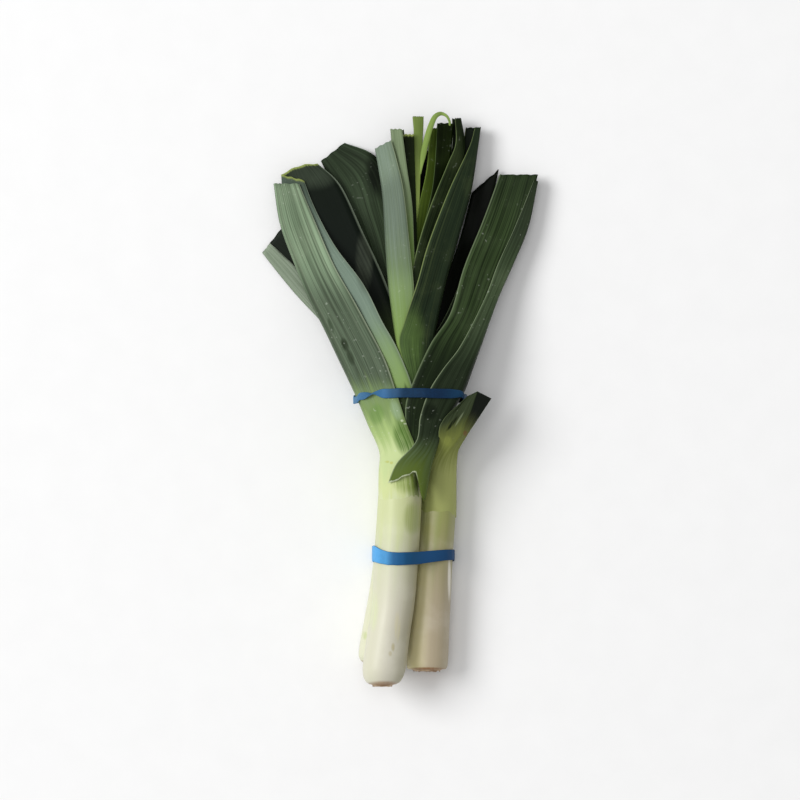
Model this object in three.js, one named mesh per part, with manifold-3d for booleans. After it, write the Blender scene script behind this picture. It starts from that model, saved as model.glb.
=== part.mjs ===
// A bunch of three trimmed leeks held by two rubber bands, lying on its back, in millimetres.
//
// X runs across the bunch, Y from the roots to the leaf tips, and Z up from the surface it lies on.
// Each leek is a pale shaft of rolled leaf bases that ends in a fan of leaves in two ranks. A leaf is
// a strap folded along its keel, with one half in front of the younger leaves and one half behind
// them, so the leaves are laid here in the order in which they enclose each other.

import * as THREE from 'three';
import { mergeVertices } from 'three/addons/utils/BufferGeometryUtils.js';
import Module from 'manifold-3d';

const wasm = await Module();
wasm.setup();

// Driving dimensions.
const LEAF_THICKNESS = 0.72;
const WIDE_STATIONS = 14;
const NARROW_STATIONS = 11;
const STATION_SPREAD = 1.3;
const CUT_FROM = 0.55;
const LAYER_PITCH = 1.75;
const FIRST_LAYER = 2.05;
const KEEL_REACH = 2;
const WIDE_HALF = [0.1, 0.24, 0.4, 0.58, 0.78, 1];
const NARROW_HALF = [0.14, 0.38, 0.68, 1];
const WIDE_FROM = 19;
const SHAFT_SIDES = 18;
const SHAFT_STATIONS = 15;
const TOUCH_GAP = 0.35;
const BAND_THICKNESS = 1.2;
const BAND_DIRECTIONS = 40;
const RESTING_WITHIN = 0.4;
const OVER_BAND = { lift: 2.4, from: -34, to: -10 };
const LOWER_BAND = { y: -122, width: 9.8, bow: 0 };
const UPPER_BAND = { y: 1, width: 7.4, bow: 4.5 };

// Columns of the margins in a leaf's rows, and the number of stations in a dense table.
const FRONT = 2;
const BACK = 3;
const DENSE = 60;

// The grid on which the leaves are piled up, and how steeply one may bend over the next.
const GRID = { x: -126, y: -125, dx: 3, dy: 5, nx: 85, ny: 75 };
const SLOPE_ACROSS = 0.52;
const SLOPE_ALONG = 0.1;
const ROUNDING_PASSES = 2;
const GROWN_ACROSS = 8;
const GROWN_ALONG = 11;

// The upper leek's leaves spread over a low tent that falls away from its throat.
const TENT = { x: 4, y: -30, height: 27, slope: 0.085 };

// Colours.
const WHITE_SHAFT = 0xdde3c6;
const OLIVE_SHAFT = 0xb4bc84;
const PALE_BLUE_GREEN = 0x7f9a86;
const DEEP_GREEN = 0x2b4030;
const MID_GREEN = 0x4d6b45;
const YOUNG_GREEN = 0x8fb04f;
const ROOT_BROWN = 0xa98a6a;
const BAND_BLUE = 0x2f6aa8;

// How rough each surface is, from 0 for a mirror to 1.
const ROUGHNESS = { root: 0.85, shaft: 0.45, leaf: 0.5, band: 0.6 };

// Points closer than this are one point, and shares closer than this to a limit are at it.
const MERGED_WITHIN = 1e-4;

// Shafts. A row is y, the centre across, the half width, the centre height and the half height.
const SHAFTS = {
  a: {
    colour: WHITE_SHAFT,
    rows: [
      [-221.5, -13.6, 10.5, 39.6, 9.6], [-219, -13.4, 13.8, 39.6, 12.6], [-213, -13, 16.2, 39.7, 14.8],
      [-204, -12, 16.9, 39.8, 15.4], [-182, -9, 16.6, 40, 15.3], [-157, -5.3, 16.6, 40.2, 15.3],
      [-122, -3, 17.2, 40.5, 15.6], [-92, -1, 17.1, 41, 15.5], [-74, -0.2, 16.7, 41.6, 15],
      [-60, -0.6, 14.4, 42.2, 13], [-50, -0.8, 12.4, 42.8, 11], [-36, -0.6, 11, 43.4, 8.8],
      [-18, 1, 9.6, 43.8, 6.2], [-2, 4, 7.4, 44, 3.8], [8, 6, 5, 44, 2.2], [12, 7, 3, 44, 1.2],
    ],
  },
  b: {
    colour: OLIVE_SHAFT,
    rows: [
      [-210.5, 21, 14.6, 17.8, 14.4], [-208.5, 21, 15.8, 17.8, 15.9], [-200, 21.4, 16.1, 17.9, 16.2],
      [-174, 23, 15.5, 18, 16.2], [-146, 24.8, 15.1, 18.1, 16.3], [-122, 26.2, 14.9, 18.1, 16.4],
      [-85, 29.5, 14, 18.3, 15.4], [-60, 31.5, 11.8, 18.4, 12.2], [-40, 33, 9.4, 19.4, 7.6],
      [-20, 33, 7.5, 22, 4], [-6, 32, 5, 23, 2.2], [2, 31.5, 3, 23, 1.2],
    ],
  },
  c: {
    colour: WHITE_SHAFT,
    rows: [
      [-205.5, -19.6, 9.6, 12.7, 8.4], [-203, -19.5, 12, 12.8, 10.3], [-196, -18.8, 13.5, 12.9, 11.2],
      [-170, -14.2, 13.5, 13.1, 11.4], [-149, -10.6, 13.3, 13.1, 11.4], [-122, -6.6, 13.4, 13.1, 11.4],
      [-90, -2, 13.2, 13.3, 11.2], [-60, 2, 11.6, 13.7, 8.8], [-40, 4, 9.6, 14, 6.4],
      [-20, 6, 8, 14.2, 4], [-6, 7.5, 6, 14, 2.4], [2, 8, 3, 14, 1.2],
    ],
  },
};

// Root plates. The cut disc that the roots were trimmed from, at the foot of each shaft.
const ROOT_PLATE = {
  depth: 1.8, sides: 14, profile: [[0, 0], [0.82, 0], [0.8, 0.4], [0.55, 0.85], [0, 1]],
  stubs: 9, stubRadius: 0.8, stubTaper: 0.7, stubSides: 5, stubLength: 0.5, stubTurn: 2.4,
  innerReach: 0.2, reachSpan: 0.45,
};

// Leaves, from the oldest to the youngest of each leek. side is 1 where the keel is on the right.
// A row is y, the keel, and the margins of the front and the back half. slants tilt the cut ends of
// the front and the back half.
const LEAVES = {
  c: [
    { name: 'leaf_c_left_outer', side: -1, slants: [1.3, 1.3], colour: DEEP_GREEN, rows: [
      [-32, -7, 8, 9], [7, -19.5, -6, 2], [39, -40.6, -29.6, -17], [64, -64, -54.6, -39],
      [85, -83.5, -73.5, -60], [115, -107.9, -102, -92]] },
    { name: 'leaf_c_right_outer', side: 1, slants: [0, 0], colour: DEEP_GREEN, rows: [
      [-26, 18, 3, 1], [-12, 20, 5, 3], [5, 27, 10, 7], [22, 37, 19, 16], [46, 48.4, 28, 25],
      [85, 65.5, 43.7, 40.6], [124, 82, 61, 58], [159, 94.4, 75.7, 72]] },
    { name: 'leaf_c_left_second', side: -1, slants: [-0.2, -0.2], colour: DEEP_GREEN, rows: [
      [-12, -6, 9.4, 9.4], [31, -12.5, 6, 6], [62, -20.3, 0, 1.6], [92, -31, -8.6, -7.8],
      [113, -40.6, -20, -17], [138, -51.5, -31, -29.6], [163, -60.8, -46.8, -43.7]] },
    { name: 'leaf_c_left_third', side: -1, slants: [0.79, 0.1], colour: DEEP_GREEN, rows: [
      [-2, -2, 11, 11], [39, -6.2, 9.4, 9.4], [85, -18.7, 4.7, 4.7], [117, -29.6, 0, 0],
      [138, -39, -5.5, -5.5], [163, -50, -15.6, -15.6], [187, -61.8, -43.3, -29]] },
    { name: 'leaf_c_left_fourth', side: -1, slants: [0.2, 0.2], colour: DEEP_GREEN, rows: [
      [4, 2, 14, 14], [62, -3, 9.4, 9.4], [117, -12, 3, 3], [163, -22, -7, -7],
      [180, -27, -13, -13]] },
  ],
  b: [
    { name: 'leaf_b_right_outer', side: 1, slants: [-0.85, -0.85], colour: DEEP_GREEN, rows: [
      [-24, 43.5, 24, 24], [7, 42, 20, 20], [39, 44, 21, 21], [78, 52, 29.6, 29.6],
      [124, 65.5, 43, 43], [180, 77, 56, 56]] },
    { name: 'leaf_b_left_outer', side: -1, slants: [0, 0], colour: DEEP_GREEN, rows: [
      [-16, 22.5, 39, 39], [5, 17, 36, 36], [30, 12, 31, 31], [62, 8, 27, 27], [117, 6, 27, 27],
      [171, 9.4, 31, 31], [195, 11, 31, 31]] },
  ],
  a: [
    { name: 'leaf_a_right_outer', side: 1, slants: [0, 0], colour: DEEP_GREEN, rows: [
      [-78, 18.7, 14, 14], [-64, 21.8, -8.6, 2], [-49, 25, -2.3, -1.6], [-32, 31.2, 12.5, 3],
      [-13, 39, 15.6, 6], [7, 50.2, 22.6, 11.7], [24, 56.6, 33.4, 20.5],
      [43, 63.5, 47.6, 31], [79, 76.5, 66, 48],
      [106, 88.4, 76.4, 62], [135, 100.2, 89.7, 78], [171, 107.8, 104.5, 95]] },
    { name: 'leaf_a_left_outer', side: -1, slants: [0, 0], colour: PALE_BLUE_GREEN, rows: [
      [-56, -16.4, 12, 12], [-40, -16, 13, 12], [-20, -24.6, 7, 4.7], [3, -34.3, 0, -4],
      [31, -47.6, -11.7, -17], [57, -60, -25, -29.6], [80, -71.8, -37.4, -42],
      [105, -82, -51.5, -56], [137, -93.6, -65.5, -69.4], [169, -98.7, -78.8, -82.7]] },
    { name: 'leaf_a_right_second', side: 1, slants: [0, 0], colour: DEEP_GREEN, rows: [
      [-48, 18, 4, 4], [-32, 23.4, 5.6, 5.6], [-7, 36, 4, 4], [11, 46, 8.8, 7],
      [43, 60, 23.4, 21.8], [67, 69, 39, 36], [103, 84, 49.7, 51.5], [140, 98, 64.7, 67],
      [176, 107.6, 78, 78]] },
    { name: 'leaf_a_left_second', side: -1, slants: [-0.25, 0.3], colour: PALE_BLUE_GREEN, rows: [
      [-20, -13, 7.8, 7.8], [0, -18.7, 9.4, 9.4], [14, -26.5, 8.3, 9.4], [41, -41.3, -2.7, 6],
      [62, -51.5, -14.4, 0], [93, -67, -29.6, -12.5], [124, -80.3, -50.7, -29.6],
      [156, -90.5, -67, -46.8], [176, -92.8, -75, -64.5]] },
    { name: 'leaf_a_right_third', side: 1, slants: [0, 0], colour: DEEP_GREEN, rows: [
      [-4, 22, 7, 7], [14, 24, 6.4, 6.4], [43, 27, -0.8, 0], [60, 29, 3, 4.7],
      [91, 35.5, 13.3, 14], [121, 44, 21.8, 23.4], [163, 55.4, 38, 37.4],
      [197, 60.8, 53.8, 48.4], [213, 63, 58.5, 51.5]] },
    { name: 'leaf_a_left_third', side: -1, slants: [0.5, 0.5], colour: MID_GREEN, rows: [
      [14, -4, 13.5, 13.5], [43, -3.5, 11.7, 13], [86, -8.6, 10.8, 12.5], [116, -11, 7.8, 10],
      [156, -13.3, 2.9, 6], [179, -16.4, -2.3, 1.6], [196, -19.5, -7, -3]] },
    { name: 'leaf_a_right_fourth', side: 1, slants: [0, 0], colour: DEEP_GREEN, rows: [
      [14, 20.6, 6, 6], [46, 22, 6, 6], [78, 25, 8.6, 8.6], [108, 30, 11, 11.7],
      [146, 40.6, 21.8, 21.8], [182, 49, 36.3, 36], [200, 50.7, 43.4, 41],
      [220, 47.6, 43, 40.6]] },
    { name: 'leaf_a_left_fourth', side: -1, slants: [0, 0], colour: MID_GREEN, rows: [
      [15, 1, 14.8, 14.8], [46, 1.5, 14, 14], [117, 1.2, 11, 12.5], [152, -0.8, 9.4, 10],
      [182, -4.7, 5.2, 7], [211, -7.4, 1.6, 3]] },
    { name: 'leaf_a_right_fifth', side: 1, slants: [0, 0], colour: MID_GREEN, rows: [
      [15, 17.8, 8.6, 8.6], [62, 19, 9.4, 9.4], [108, 25, 14, 14], [136, 30.6, 18.7, 18.7],
      [170, 37, 25.7, 25.7], [216, 42, 29, 29.6]] },
    { name: 'leaf_a_left_fifth', side: -1, slants: [0, 0], colour: MID_GREEN, rows: [
      [16, 4.6, 14.4, 14.4], [93, 5, 14, 14], [156, 5, 12.5, 12.5], [207, 2.7, 10.8, 10.9]] },
    { name: 'leaf_a_right_sixth', side: 1, slants: [0, 0], colour: YOUNG_GREEN, rows: [
      [16, 15.4, 7.6, 7.6], [78, 16.4, 8.4, 8.4], [124, 21.8, 12, 12], [152, 26, 15, 15],
      [179, 29, 20.7, 20.3], [212, 29.6, 24, 23.4]] },
    { name: 'leaf_a_heart', side: -1, slants: [0, 0], colour: YOUNG_GREEN, rows: [
      [17, 7.6, 12.6, 12.6], [101, 9, 14, 14], [170, 10.5, 15.6, 15.6],
      [205, 11, 17.8, 17], [221, 10, 18.4, 18]] },
  ],
};

// The short cut leaf of the second leek rides over the others like a roof, with its keel up. A row
// is y, the ridge, the left and the right margin, and the height of the ridge.
const SHORT_LEAF = { name: 'leaf_b_short', colour: OLIVE_SHAFT, slant: -0.5, rows: [
  [-62, 31.6, 19.6, 43.8, 1], [-50, 32.4, 20.4, 43.8, 1.6], [-40, 37.5, 27.6, 45.4, 3.5],
  [-27, 48.2, 29.8, 52.6, 5.5], [-18, 50.4, 32, 58, 6], [-9, 54.8, 37.9, 64.4, 6.5],
  [-1, 57.6, 45.5, 69.4, 6.5], [6.5, 60.2, 52.8, 71, 6.5]] };

// The youngest leaf curls over at its tip, a slim rod that is oval across, along a path of x and y.
const CURL = {
  path: [[15.6, 176], [17.2, 186], [18.6, 194], [20.7, 203], [23.7, 213], [26.8, 220.2], [30.2, 223],
    [33.3, 223.2], [36.6, 221.2], [38.6, 217.4], [38.8, 213.6]],
  halfWidth: 1.3, halfDepth: 0.7, steps: 26, sides: 8, above: 2.2, leaves: 4,
};

// Catmull-Rom spline through evenly spaced values, for t from 0 to 1.
function spline(values, t) {
  const last = values.length - 1;
  const i = Math.min(Math.floor(t * last), last - 1);
  const f = t * last - i;
  const p1 = values[i];
  const p2 = values[i + 1];
  const p0 = i > 0 ? values[i - 1] : 2 * p1 - p2;
  const p3 = i + 2 <= last ? values[i + 2] : 2 * p2 - p1;
  const bend = (2 * p0 - 5 * p1 + 4 * p2 - p3) * f * f + (3 * p1 - p0 - 3 * p2 + p3) * f * f * f;
  return p1 + 0.5 * ((p2 - p0) * f + bend);
}

// Every column of a table of rows, smoothed and read at count evenly spread stations.
function stations(rows, count) {
  const columns = rows[0].map((_, column) => rows.map((row) => row[column]));
  return Array.from({ length: count }, (_, i) => columns.map((values) => spline(values, i / (count - 1))));
}

// The row of a dense table of stations at height y, or null outside it.
function rowAt(table, y) {
  const next = table.findIndex((row) => row[0] >= y);
  if (next <= 0) {
    return next === 0 && table[0][0] === y ? table[0] : null;
  }
  const [low, high] = [table[next - 1], table[next]];
  const f = (y - low[0]) / (high[0] - low[0]);
  return low.map((value, column) => value + (high[column] - value) * f);
}

// Stations at even steps along Y, a little closer together near the throat.
function evenStations(rows, count) {
  const dense = stations(rows, DENSE);
  const [first, last] = [dense[0][0], dense[DENSE - 1][0]];
  return Array.from({ length: count }, (_, i) => {
    const share = (i / (count - 1)) ** STATION_SPREAD;
    return i === count - 1 ? dense[DENSE - 1] : rowAt(dense, first + (last - first) * share);
  });
}

// A height field over the grid.
function heights(measure) {
  const field = new Float64Array(GRID.nx * GRID.ny);
  for (let j = 0; j < GRID.ny; j++) {
    for (let i = 0; i < GRID.nx; i++) {
      field[j * GRID.nx + i] = measure(GRID.x + i * GRID.dx, GRID.y + j * GRID.dy, j * GRID.nx + i);
    }
  }
  return field;
}

function heightAt(field, x, y) {
  const u = THREE.MathUtils.clamp((x - GRID.x) / GRID.dx, 0, GRID.nx - 1.001);
  const v = THREE.MathUtils.clamp((y - GRID.y) / GRID.dy, 0, GRID.ny - 1.001);
  const [i, j] = [Math.floor(u), Math.floor(v)];
  const at = (di, dj) => field[(j + dj) * GRID.nx + i + di];
  const [fu, fv] = [u - i, v - j];
  return (at(0, 0) * (1 - fu) + at(1, 0) * fu) * (1 - fv) + (at(0, 1) * (1 - fu) + at(1, 1) * fu) * fv;
}

// The lowest surface over a field that is nowhere steeper than a leaf can bend.
function draped(field) {
  const over = Float64Array.from(field);
  const sweep = (from, to, drop) => {
    over[to] = Math.max(over[to], over[from] - drop);
  };
  const cells = GRID.nx * GRID.ny;
  for (let n = 0; n < cells; n++) {
    const m = cells - 1 - n;
    if (n % GRID.nx > 0) sweep(n - 1, n, SLOPE_ACROSS * GRID.dx);
    if (m % GRID.nx < GRID.nx - 1) sweep(m + 1, m, SLOPE_ACROSS * GRID.dx);
  }
  for (let n = GRID.nx; n < cells; n++) {
    const m = cells - 1 - n;
    sweep(n - GRID.nx, n, SLOPE_ALONG * GRID.dy);
    sweep(m + GRID.nx, m, SLOPE_ALONG * GRID.dy);
  }
  return over;
}

// The same field with its creases rounded off.
function rounded(field) {
  const mean = (n, step, index, count) => {
    const before = index > 0 ? n - step : n;
    const after = index < count - 1 ? n + step : n;
    return (field[before] + 2 * field[n] + field[after]) / 4;
  };
  for (let pass = 0; pass < ROUNDING_PASSES; pass++) {
    field = field.map((_, n) => mean(n, 1, n % GRID.nx, GRID.nx));
    field = field.map((_, n) => mean(n, GRID.nx, Math.floor(n / GRID.nx), GRID.ny));
  }
  return field;
}

// The part of the grid that half a leaf covers, grown a little on all sides.
function covers(table, margin, slants) {
  const first = table[0][0] - GROWN_ALONG;
  const tip = table[table.length - 1];
  const slant = slants[margin - FRONT];
  const last = tip[0] + Math.abs(slant * (tip[margin] - tip[1])) + GROWN_ALONG;
  return (x, y) => {
    if (y < first || y > last) return false;
    const row = rowAt(table, THREE.MathUtils.clamp(y, table[0][0] + 0.01, tip[0] - 0.01));
    const low = Math.min(row[1], row[margin]) - GROWN_ACROSS;
    return x > low && x < Math.max(row[1], row[margin]) + GROWN_ACROSS;
  };
}

let pile = heights(() => FIRST_LAYER - LAYER_PITCH);

// Lays half a leaf on the pile and keeps the surface that it follows.
function lay(leaf, margin) {
  const table = stations(leaf.rows, DENSE);
  const inside = covers(table, margin, leaf.slants);
  const surface = draped(pile).map((height) => height + LAYER_PITCH);
  pile = heights((x, y, n) => (inside(x, y) ? surface[n] : pile[n]));
  leaf.surfaces = { ...leaf.surfaces, [margin]: rounded(surface) };
}

// Lays a shaft on the pile: its upper side is what the front leaves lie on.
function layShaft(shaft) {
  const table = stations(shaft.rows, DENSE);
  pile = heights((x, y, n) => {
    const row = rowAt(table, y);
    if (!row) return pile[n];
    const off = (x - row[1]) / row[2];
    return Math.abs(off) < 1 ? Math.max(pile[n], row[3] + row[4] * Math.sqrt(1 - off * off)) : pile[n];
  });
}

function layLeek(leek) {
  LEAVES[leek].forEach((leaf) => lay(leaf, BACK));
  layShaft(SHAFTS[leek]);
  LEAVES[leek].toReversed().forEach((leaf) => lay(leaf, FRONT));
}

// A closed geometry from points and triangles, with every shared point kept once.
function closed(points, triangles) {
  const geometry = new THREE.BufferGeometry();
  geometry.setAttribute('position', new THREE.Float32BufferAttribute(points.flat(), 3));
  geometry.setIndex(triangles.flat());
  return geometry;
}

// Two triangles for the quad a, b, c, d, seen from outside in that order.
const quad = (a, b, c, d) => [[a, b, c], [a, c, d]];

// A strap of even thickness that follows a middle line in each section. Every section is a list of
// x and z pairs at a height y of its own for each pair, with the outside on its left.
function strap(sections) {
  const points = [];
  const across = sections[0].length;
  for (const section of sections) {
    for (const face of [1, -1]) {
      section.forEach(([x, y, z], i) => {
        const [px, , pz] = section[Math.max(i - 1, 0)];
        const [nx, , nz] = section[Math.min(i + 1, across - 1)];
        const before = Math.atan2(z - pz, x - px);
        const after = Math.atan2(nz - z, nx - x);
        const inner = i > 0 && i < across - 1;
        const turn = inner ? Math.atan2(Math.sin(after - before), Math.cos(after - before)) / 2 : 0;
        const heading = (i > 0 ? before : after) + turn;
        const insideFold = face * turn > 0;
        const mitre = insideFold ? 1 / Math.max(Math.cos(turn), LEAF_THICKNESS / 2 / KEEL_REACH) : 1;
        const off = (face * mitre * LEAF_THICKNESS) / 2;
        points.push([x - Math.sin(heading) * off, y, z + Math.cos(heading) * off]);
      });
    }
  }
  const triangles = [];
  const at = (s, face, i) => (s * 2 + face) * across + i;
  for (let s = 0; s + 1 < sections.length; s++) {
    for (let i = 0; i + 1 < across; i++) {
      triangles.push(...quad(at(s, 0, i), at(s, 0, i + 1), at(s + 1, 0, i + 1), at(s + 1, 0, i)));
      triangles.push(...quad(at(s, 1, i + 1), at(s, 1, i), at(s + 1, 1, i), at(s + 1, 1, i + 1)));
    }
    triangles.push(...quad(at(s, 1, 0), at(s, 0, 0), at(s + 1, 0, 0), at(s + 1, 1, 0)));
    const end = across - 1;
    triangles.push(...quad(at(s, 0, end), at(s, 1, end), at(s + 1, 1, end), at(s + 1, 0, end)));
  }
  for (let i = 0; i + 1 < across; i++) {
    const tip = sections.length - 1;
    triangles.push(...quad(at(0, 0, i + 1), at(0, 0, i), at(0, 1, i), at(0, 1, i + 1)));
    triangles.push(...quad(at(tip, 0, i), at(tip, 0, i + 1), at(tip, 1, i + 1), at(tip, 1, i)));
  }
  return closed(points, triangles);
}

// The curled tip: it leaves the heart leaf and bends over to the right above its neighbours.
function curlSolid(surface) {
  const points = CURL.path.map(([x, y], i) => {
    const sunk = heightAt(surface, x, y);
    const over = heightAt(pile, x, y) + CURL.above;
    const free = THREE.MathUtils.smoothstep(i, 0, CURL.leaves);
    return new THREE.Vector3(x, y, THREE.MathUtils.lerp(sunk, over, free));
  });
  const section = new THREE.Shape();
  section.absellipse(0, 0, CURL.halfWidth, CURL.halfDepth, 0, 2 * Math.PI);
  const extrudePath = new THREE.CatmullRomCurve3(points);
  const options = { steps: CURL.steps, curveSegments: CURL.sides, extrudePath };
  return toSolid(new THREE.ExtrudeGeometry(section, options));
}

// How far the slanted cut moves a point of the strap along Y, at a share t of its length.
const cutShift = (slant, t, offset) => slant * offset * THREE.MathUtils.smoothstep(t, CUT_FROM, 1);

// A wide leaf has more stations, and more points across each half.
const isWide = (leaf) => Math.max(...leaf.rows.map((row) => Math.abs(row[FRONT] - row[1]))) > WIDE_FROM;

// A folded leaf: from the margin of its back half, round the keel, to the margin of its front half.
function foldedLeaf(leaf) {
  const shares = isWide(leaf) ? WIDE_HALF : NARROW_HALF;
  const table = evenStations(leaf.rows, isWide(leaf) ? WIDE_STATIONS : NARROW_STATIONS);
  const sections = table.map((row, s) => {
    const point = (margin, share) => {
      const offset = (row[margin] - row[1]) * share;
      const slant = leaf.slants[margin - FRONT];
      const y = row[0] + cutShift(slant, s / (table.length - 1), Math.abs(offset));
      return [row[1] + offset, y, heightAt(leaf.surfaces[margin], row[1] + offset, y)];
    };
    const back = shares.toReversed().map((share) => point(BACK, share));
    const front = shares.map((share) => point(FRONT, share));
    const [low, high] = [back[back.length - 1][2], front[0][2]];
    return [...back, [row[1], row[0], (low + high) / 2], ...front];
  });
  const outsideIsLeft = leaf.side < 0;
  return strap(outsideIsLeft ? sections : sections.map((section) => section.toReversed()));
}

function shortLeaf(leaf) {
  const surface = rounded(draped(pile).map((height) => height + LAYER_PITCH));
  const table = evenStations(leaf.rows, NARROW_STATIONS);
  const { lift, from, to } = OVER_BAND;
  const sections = table.map(([y, ridge, left, right, rise], s) => {
    const point = (side, share) => {
      const offset = (side - ridge) * share;
      const slanted = y + cutShift(leaf.slant, s / (table.length - 1), Math.abs(offset));
      const raised = rise * (1 - share) + lift * THREE.MathUtils.smoothstep(y, from, to);
      return [ridge + offset, slanted, heightAt(surface, ridge + offset, slanted) + raised];
    };
    const toLeft = NARROW_HALF.toReversed().map((share) => point(left, share));
    return [...toLeft, point(ridge, 0), ...NARROW_HALF.map((share) => point(right, share))];
  });
  return strap(sections);
}

// A shaft: oval sections joined up, with flat ends.
function shaftSolid(rows) {
  const points = [];
  const triangles = [];
  const table = stations(rows, SHAFT_STATIONS);
  for (const [y, x, halfWidth, z, halfHeight] of table) {
    for (let i = 0; i < SHAFT_SIDES; i++) {
      const angle = (i / SHAFT_SIDES) * 2 * Math.PI - Math.PI / 2;
      points.push([x + halfWidth * Math.cos(angle), y, z + halfHeight * Math.sin(angle)]);
    }
  }
  const at = (s, i) => s * SHAFT_SIDES + (i % SHAFT_SIDES);
  for (let i = 0; i < SHAFT_SIDES; i++) {
    for (let s = 0; s + 1 < table.length; s++) {
      triangles.push(...quad(at(s, i), at(s + 1, i), at(s + 1, i + 1), at(s, i + 1)));
    }
    triangles.push([points.length, at(0, i), at(0, i + 1)]);
    triangles.push([points.length + 1, at(table.length - 1, i + 1), at(table.length - 1, i)]);
  }
  for (const [y, x, , z] of [table[0], table[table.length - 1]]) {
    points.push([x, y, z]);
  }
  return closed(points, triangles);
}

// A solid for joining and cutting, from a geometry with shared points.
function toSolid(geometry) {
  const bare = geometry.clone();
  bare.deleteAttribute('normal');
  bare.deleteAttribute('uv');
  const merged = mergeVertices(bare, MERGED_WITHIN);
  const vertProperties = new Float32Array(merged.attributes.position.array);
  const triVerts = new Uint32Array(merged.index.array);
  return new wasm.Manifold(new wasm.Mesh({ numProp: 3, vertProperties, triVerts }));
}

function fromSolid(solid) {
  const mesh = solid.getMesh();
  const geometry = new THREE.BufferGeometry();
  geometry.setAttribute('position', new THREE.BufferAttribute(new Float32Array(mesh.vertProperties), 3));
  geometry.setIndex(new THREE.BufferAttribute(new Uint32Array(mesh.triVerts), 1));
  return geometry;
}

// The root plate: a low domed disc with the stubs of its trimmed roots in a ring.
function rootPlate([y, x, halfWidth, z, halfHeight]) {
  const { depth, sides, profile, stubs, stubRadius, stubLength } = ROOT_PLATE;
  const disc = new THREE.LatheGeometry(
    profile.map(([r, d]) => new THREE.Vector2(r * halfWidth, -d * depth)).toReversed(), sides);
  let solid = toSolid(disc);
  for (let i = 0; i < stubs; i++) {
    const angle = i * ROOT_PLATE.stubTurn;
    const reach = halfWidth * (ROOT_PLATE.innerReach + ROOT_PLATE.reachSpan * Math.sqrt(i / stubs));
    const stub = new THREE.CylinderGeometry(
      stubRadius, stubRadius * ROOT_PLATE.stubTaper, stubLength + depth, ROOT_PLATE.stubSides);
    stub.translate(reach * Math.cos(angle), -(stubLength + depth) / 2 - TOUCH_GAP, reach * Math.sin(angle));
    solid = solid.add(toSolid(stub));
  }
  const geometry = fromSolid(solid);
  geometry.scale(1, 1, halfHeight / halfWidth);
  geometry.translate(x, y - TOUCH_GAP, z);
  return geometry;
}

// Where the edges of a geometry cross the plane at height y, as x and z pairs.
function crossing(geometry, y) {
  const position = geometry.attributes.position;
  const index = geometry.index.array;
  const found = [];
  for (let i = 0; i < index.length; i++) {
    const [a, b] = [index[i], index[i % 3 === 2 ? i - 2 : i + 1]];
    const [ya, yb] = [position.getY(a), position.getY(b)];
    if ((ya - y) * (yb - y) <= 0 && ya !== yb) {
      const f = (y - ya) / (yb - ya);
      found.push([
        position.getX(a) + (position.getX(b) - position.getX(a)) * f,
        position.getZ(a) + (position.getZ(b) - position.getZ(a)) * f,
      ]);
    }
  }
  return found;
}

// A flat rubber band pulled tight round everything that it holds.
function rubberBand({ y, width, bow }, held) {
  const planes = [y - width / 2, y, y + width / 2, y + bow, y + bow + width / 2];
  const bulk = held.flatMap((geometry) => planes.flatMap((plane) => crossing(geometry, plane)));
  const lowest = TOUCH_GAP + BAND_THICKNESS;
  const directions = Array.from({ length: BAND_DIRECTIONS }, (_, i) => (i / BAND_DIRECTIONS) * 2 * Math.PI);
  const loop = directions.flatMap((angle) => {
    const [dx, dz] = [Math.cos(angle), Math.sin(angle)];
    const reach = (point) => point[0] * dx + point[1] * dz;
    const furthest = bulk.reduce((best, point) => (reach(point) > reach(best) ? point : best));
    if (dz > MERGED_WITHIN - 1) return [{ dx, dz, x: furthest[0], z: furthest[1] }];
    const resting = bulk.filter((point) => point[1] < lowest + RESTING_WITHIN).map((point) => point[0]);
    return [Math.min(...resting), Math.max(...resting)].map((x) => ({ dx: 0, dz, x, z: lowest }));
  });
  const points = loop.flatMap(({ dx, dz, x, z }) => {
    const middle = y + bow * Math.max(dz, 0);
    const [inner, outer] = [TOUCH_GAP, TOUCH_GAP + BAND_THICKNESS];
    return [[inner, -1], [outer, -1], [outer, 1], [inner, 1]]
      .map(([off, edge]) => [x + dx * off, middle + (edge * width) / 2, z + dz * off]);
  });
  const triangles = [];
  for (let i = 0; i < loop.length; i++) {
    const next = (i + 1) % loop.length;
    for (let corner = 0; corner < 4; corner++) {
      const other = (corner + 1) % 4;
      triangles.push(...quad(i * 4 + corner, i * 4 + other, next * 4 + other, next * 4 + corner));
    }
  }
  return closed(points, triangles);
}

const bunch = new THREE.Group();

function addMesh(name, geometry, color, roughness) {
  geometry.computeVertexNormals();
  const mesh = new THREE.Mesh(geometry, new THREE.MeshStandardMaterial({ color, roughness, metalness: 0 }));
  mesh.name = name;
  bunch.add(mesh);
  return geometry;
}

layLeek('c');
layLeek('b');
pile = heights((x, y, n) =>
  Math.max(pile[n], TENT.height - TENT.slope * Math.hypot(x - TENT.x, y - TENT.y)));
layLeek('a');

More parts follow.
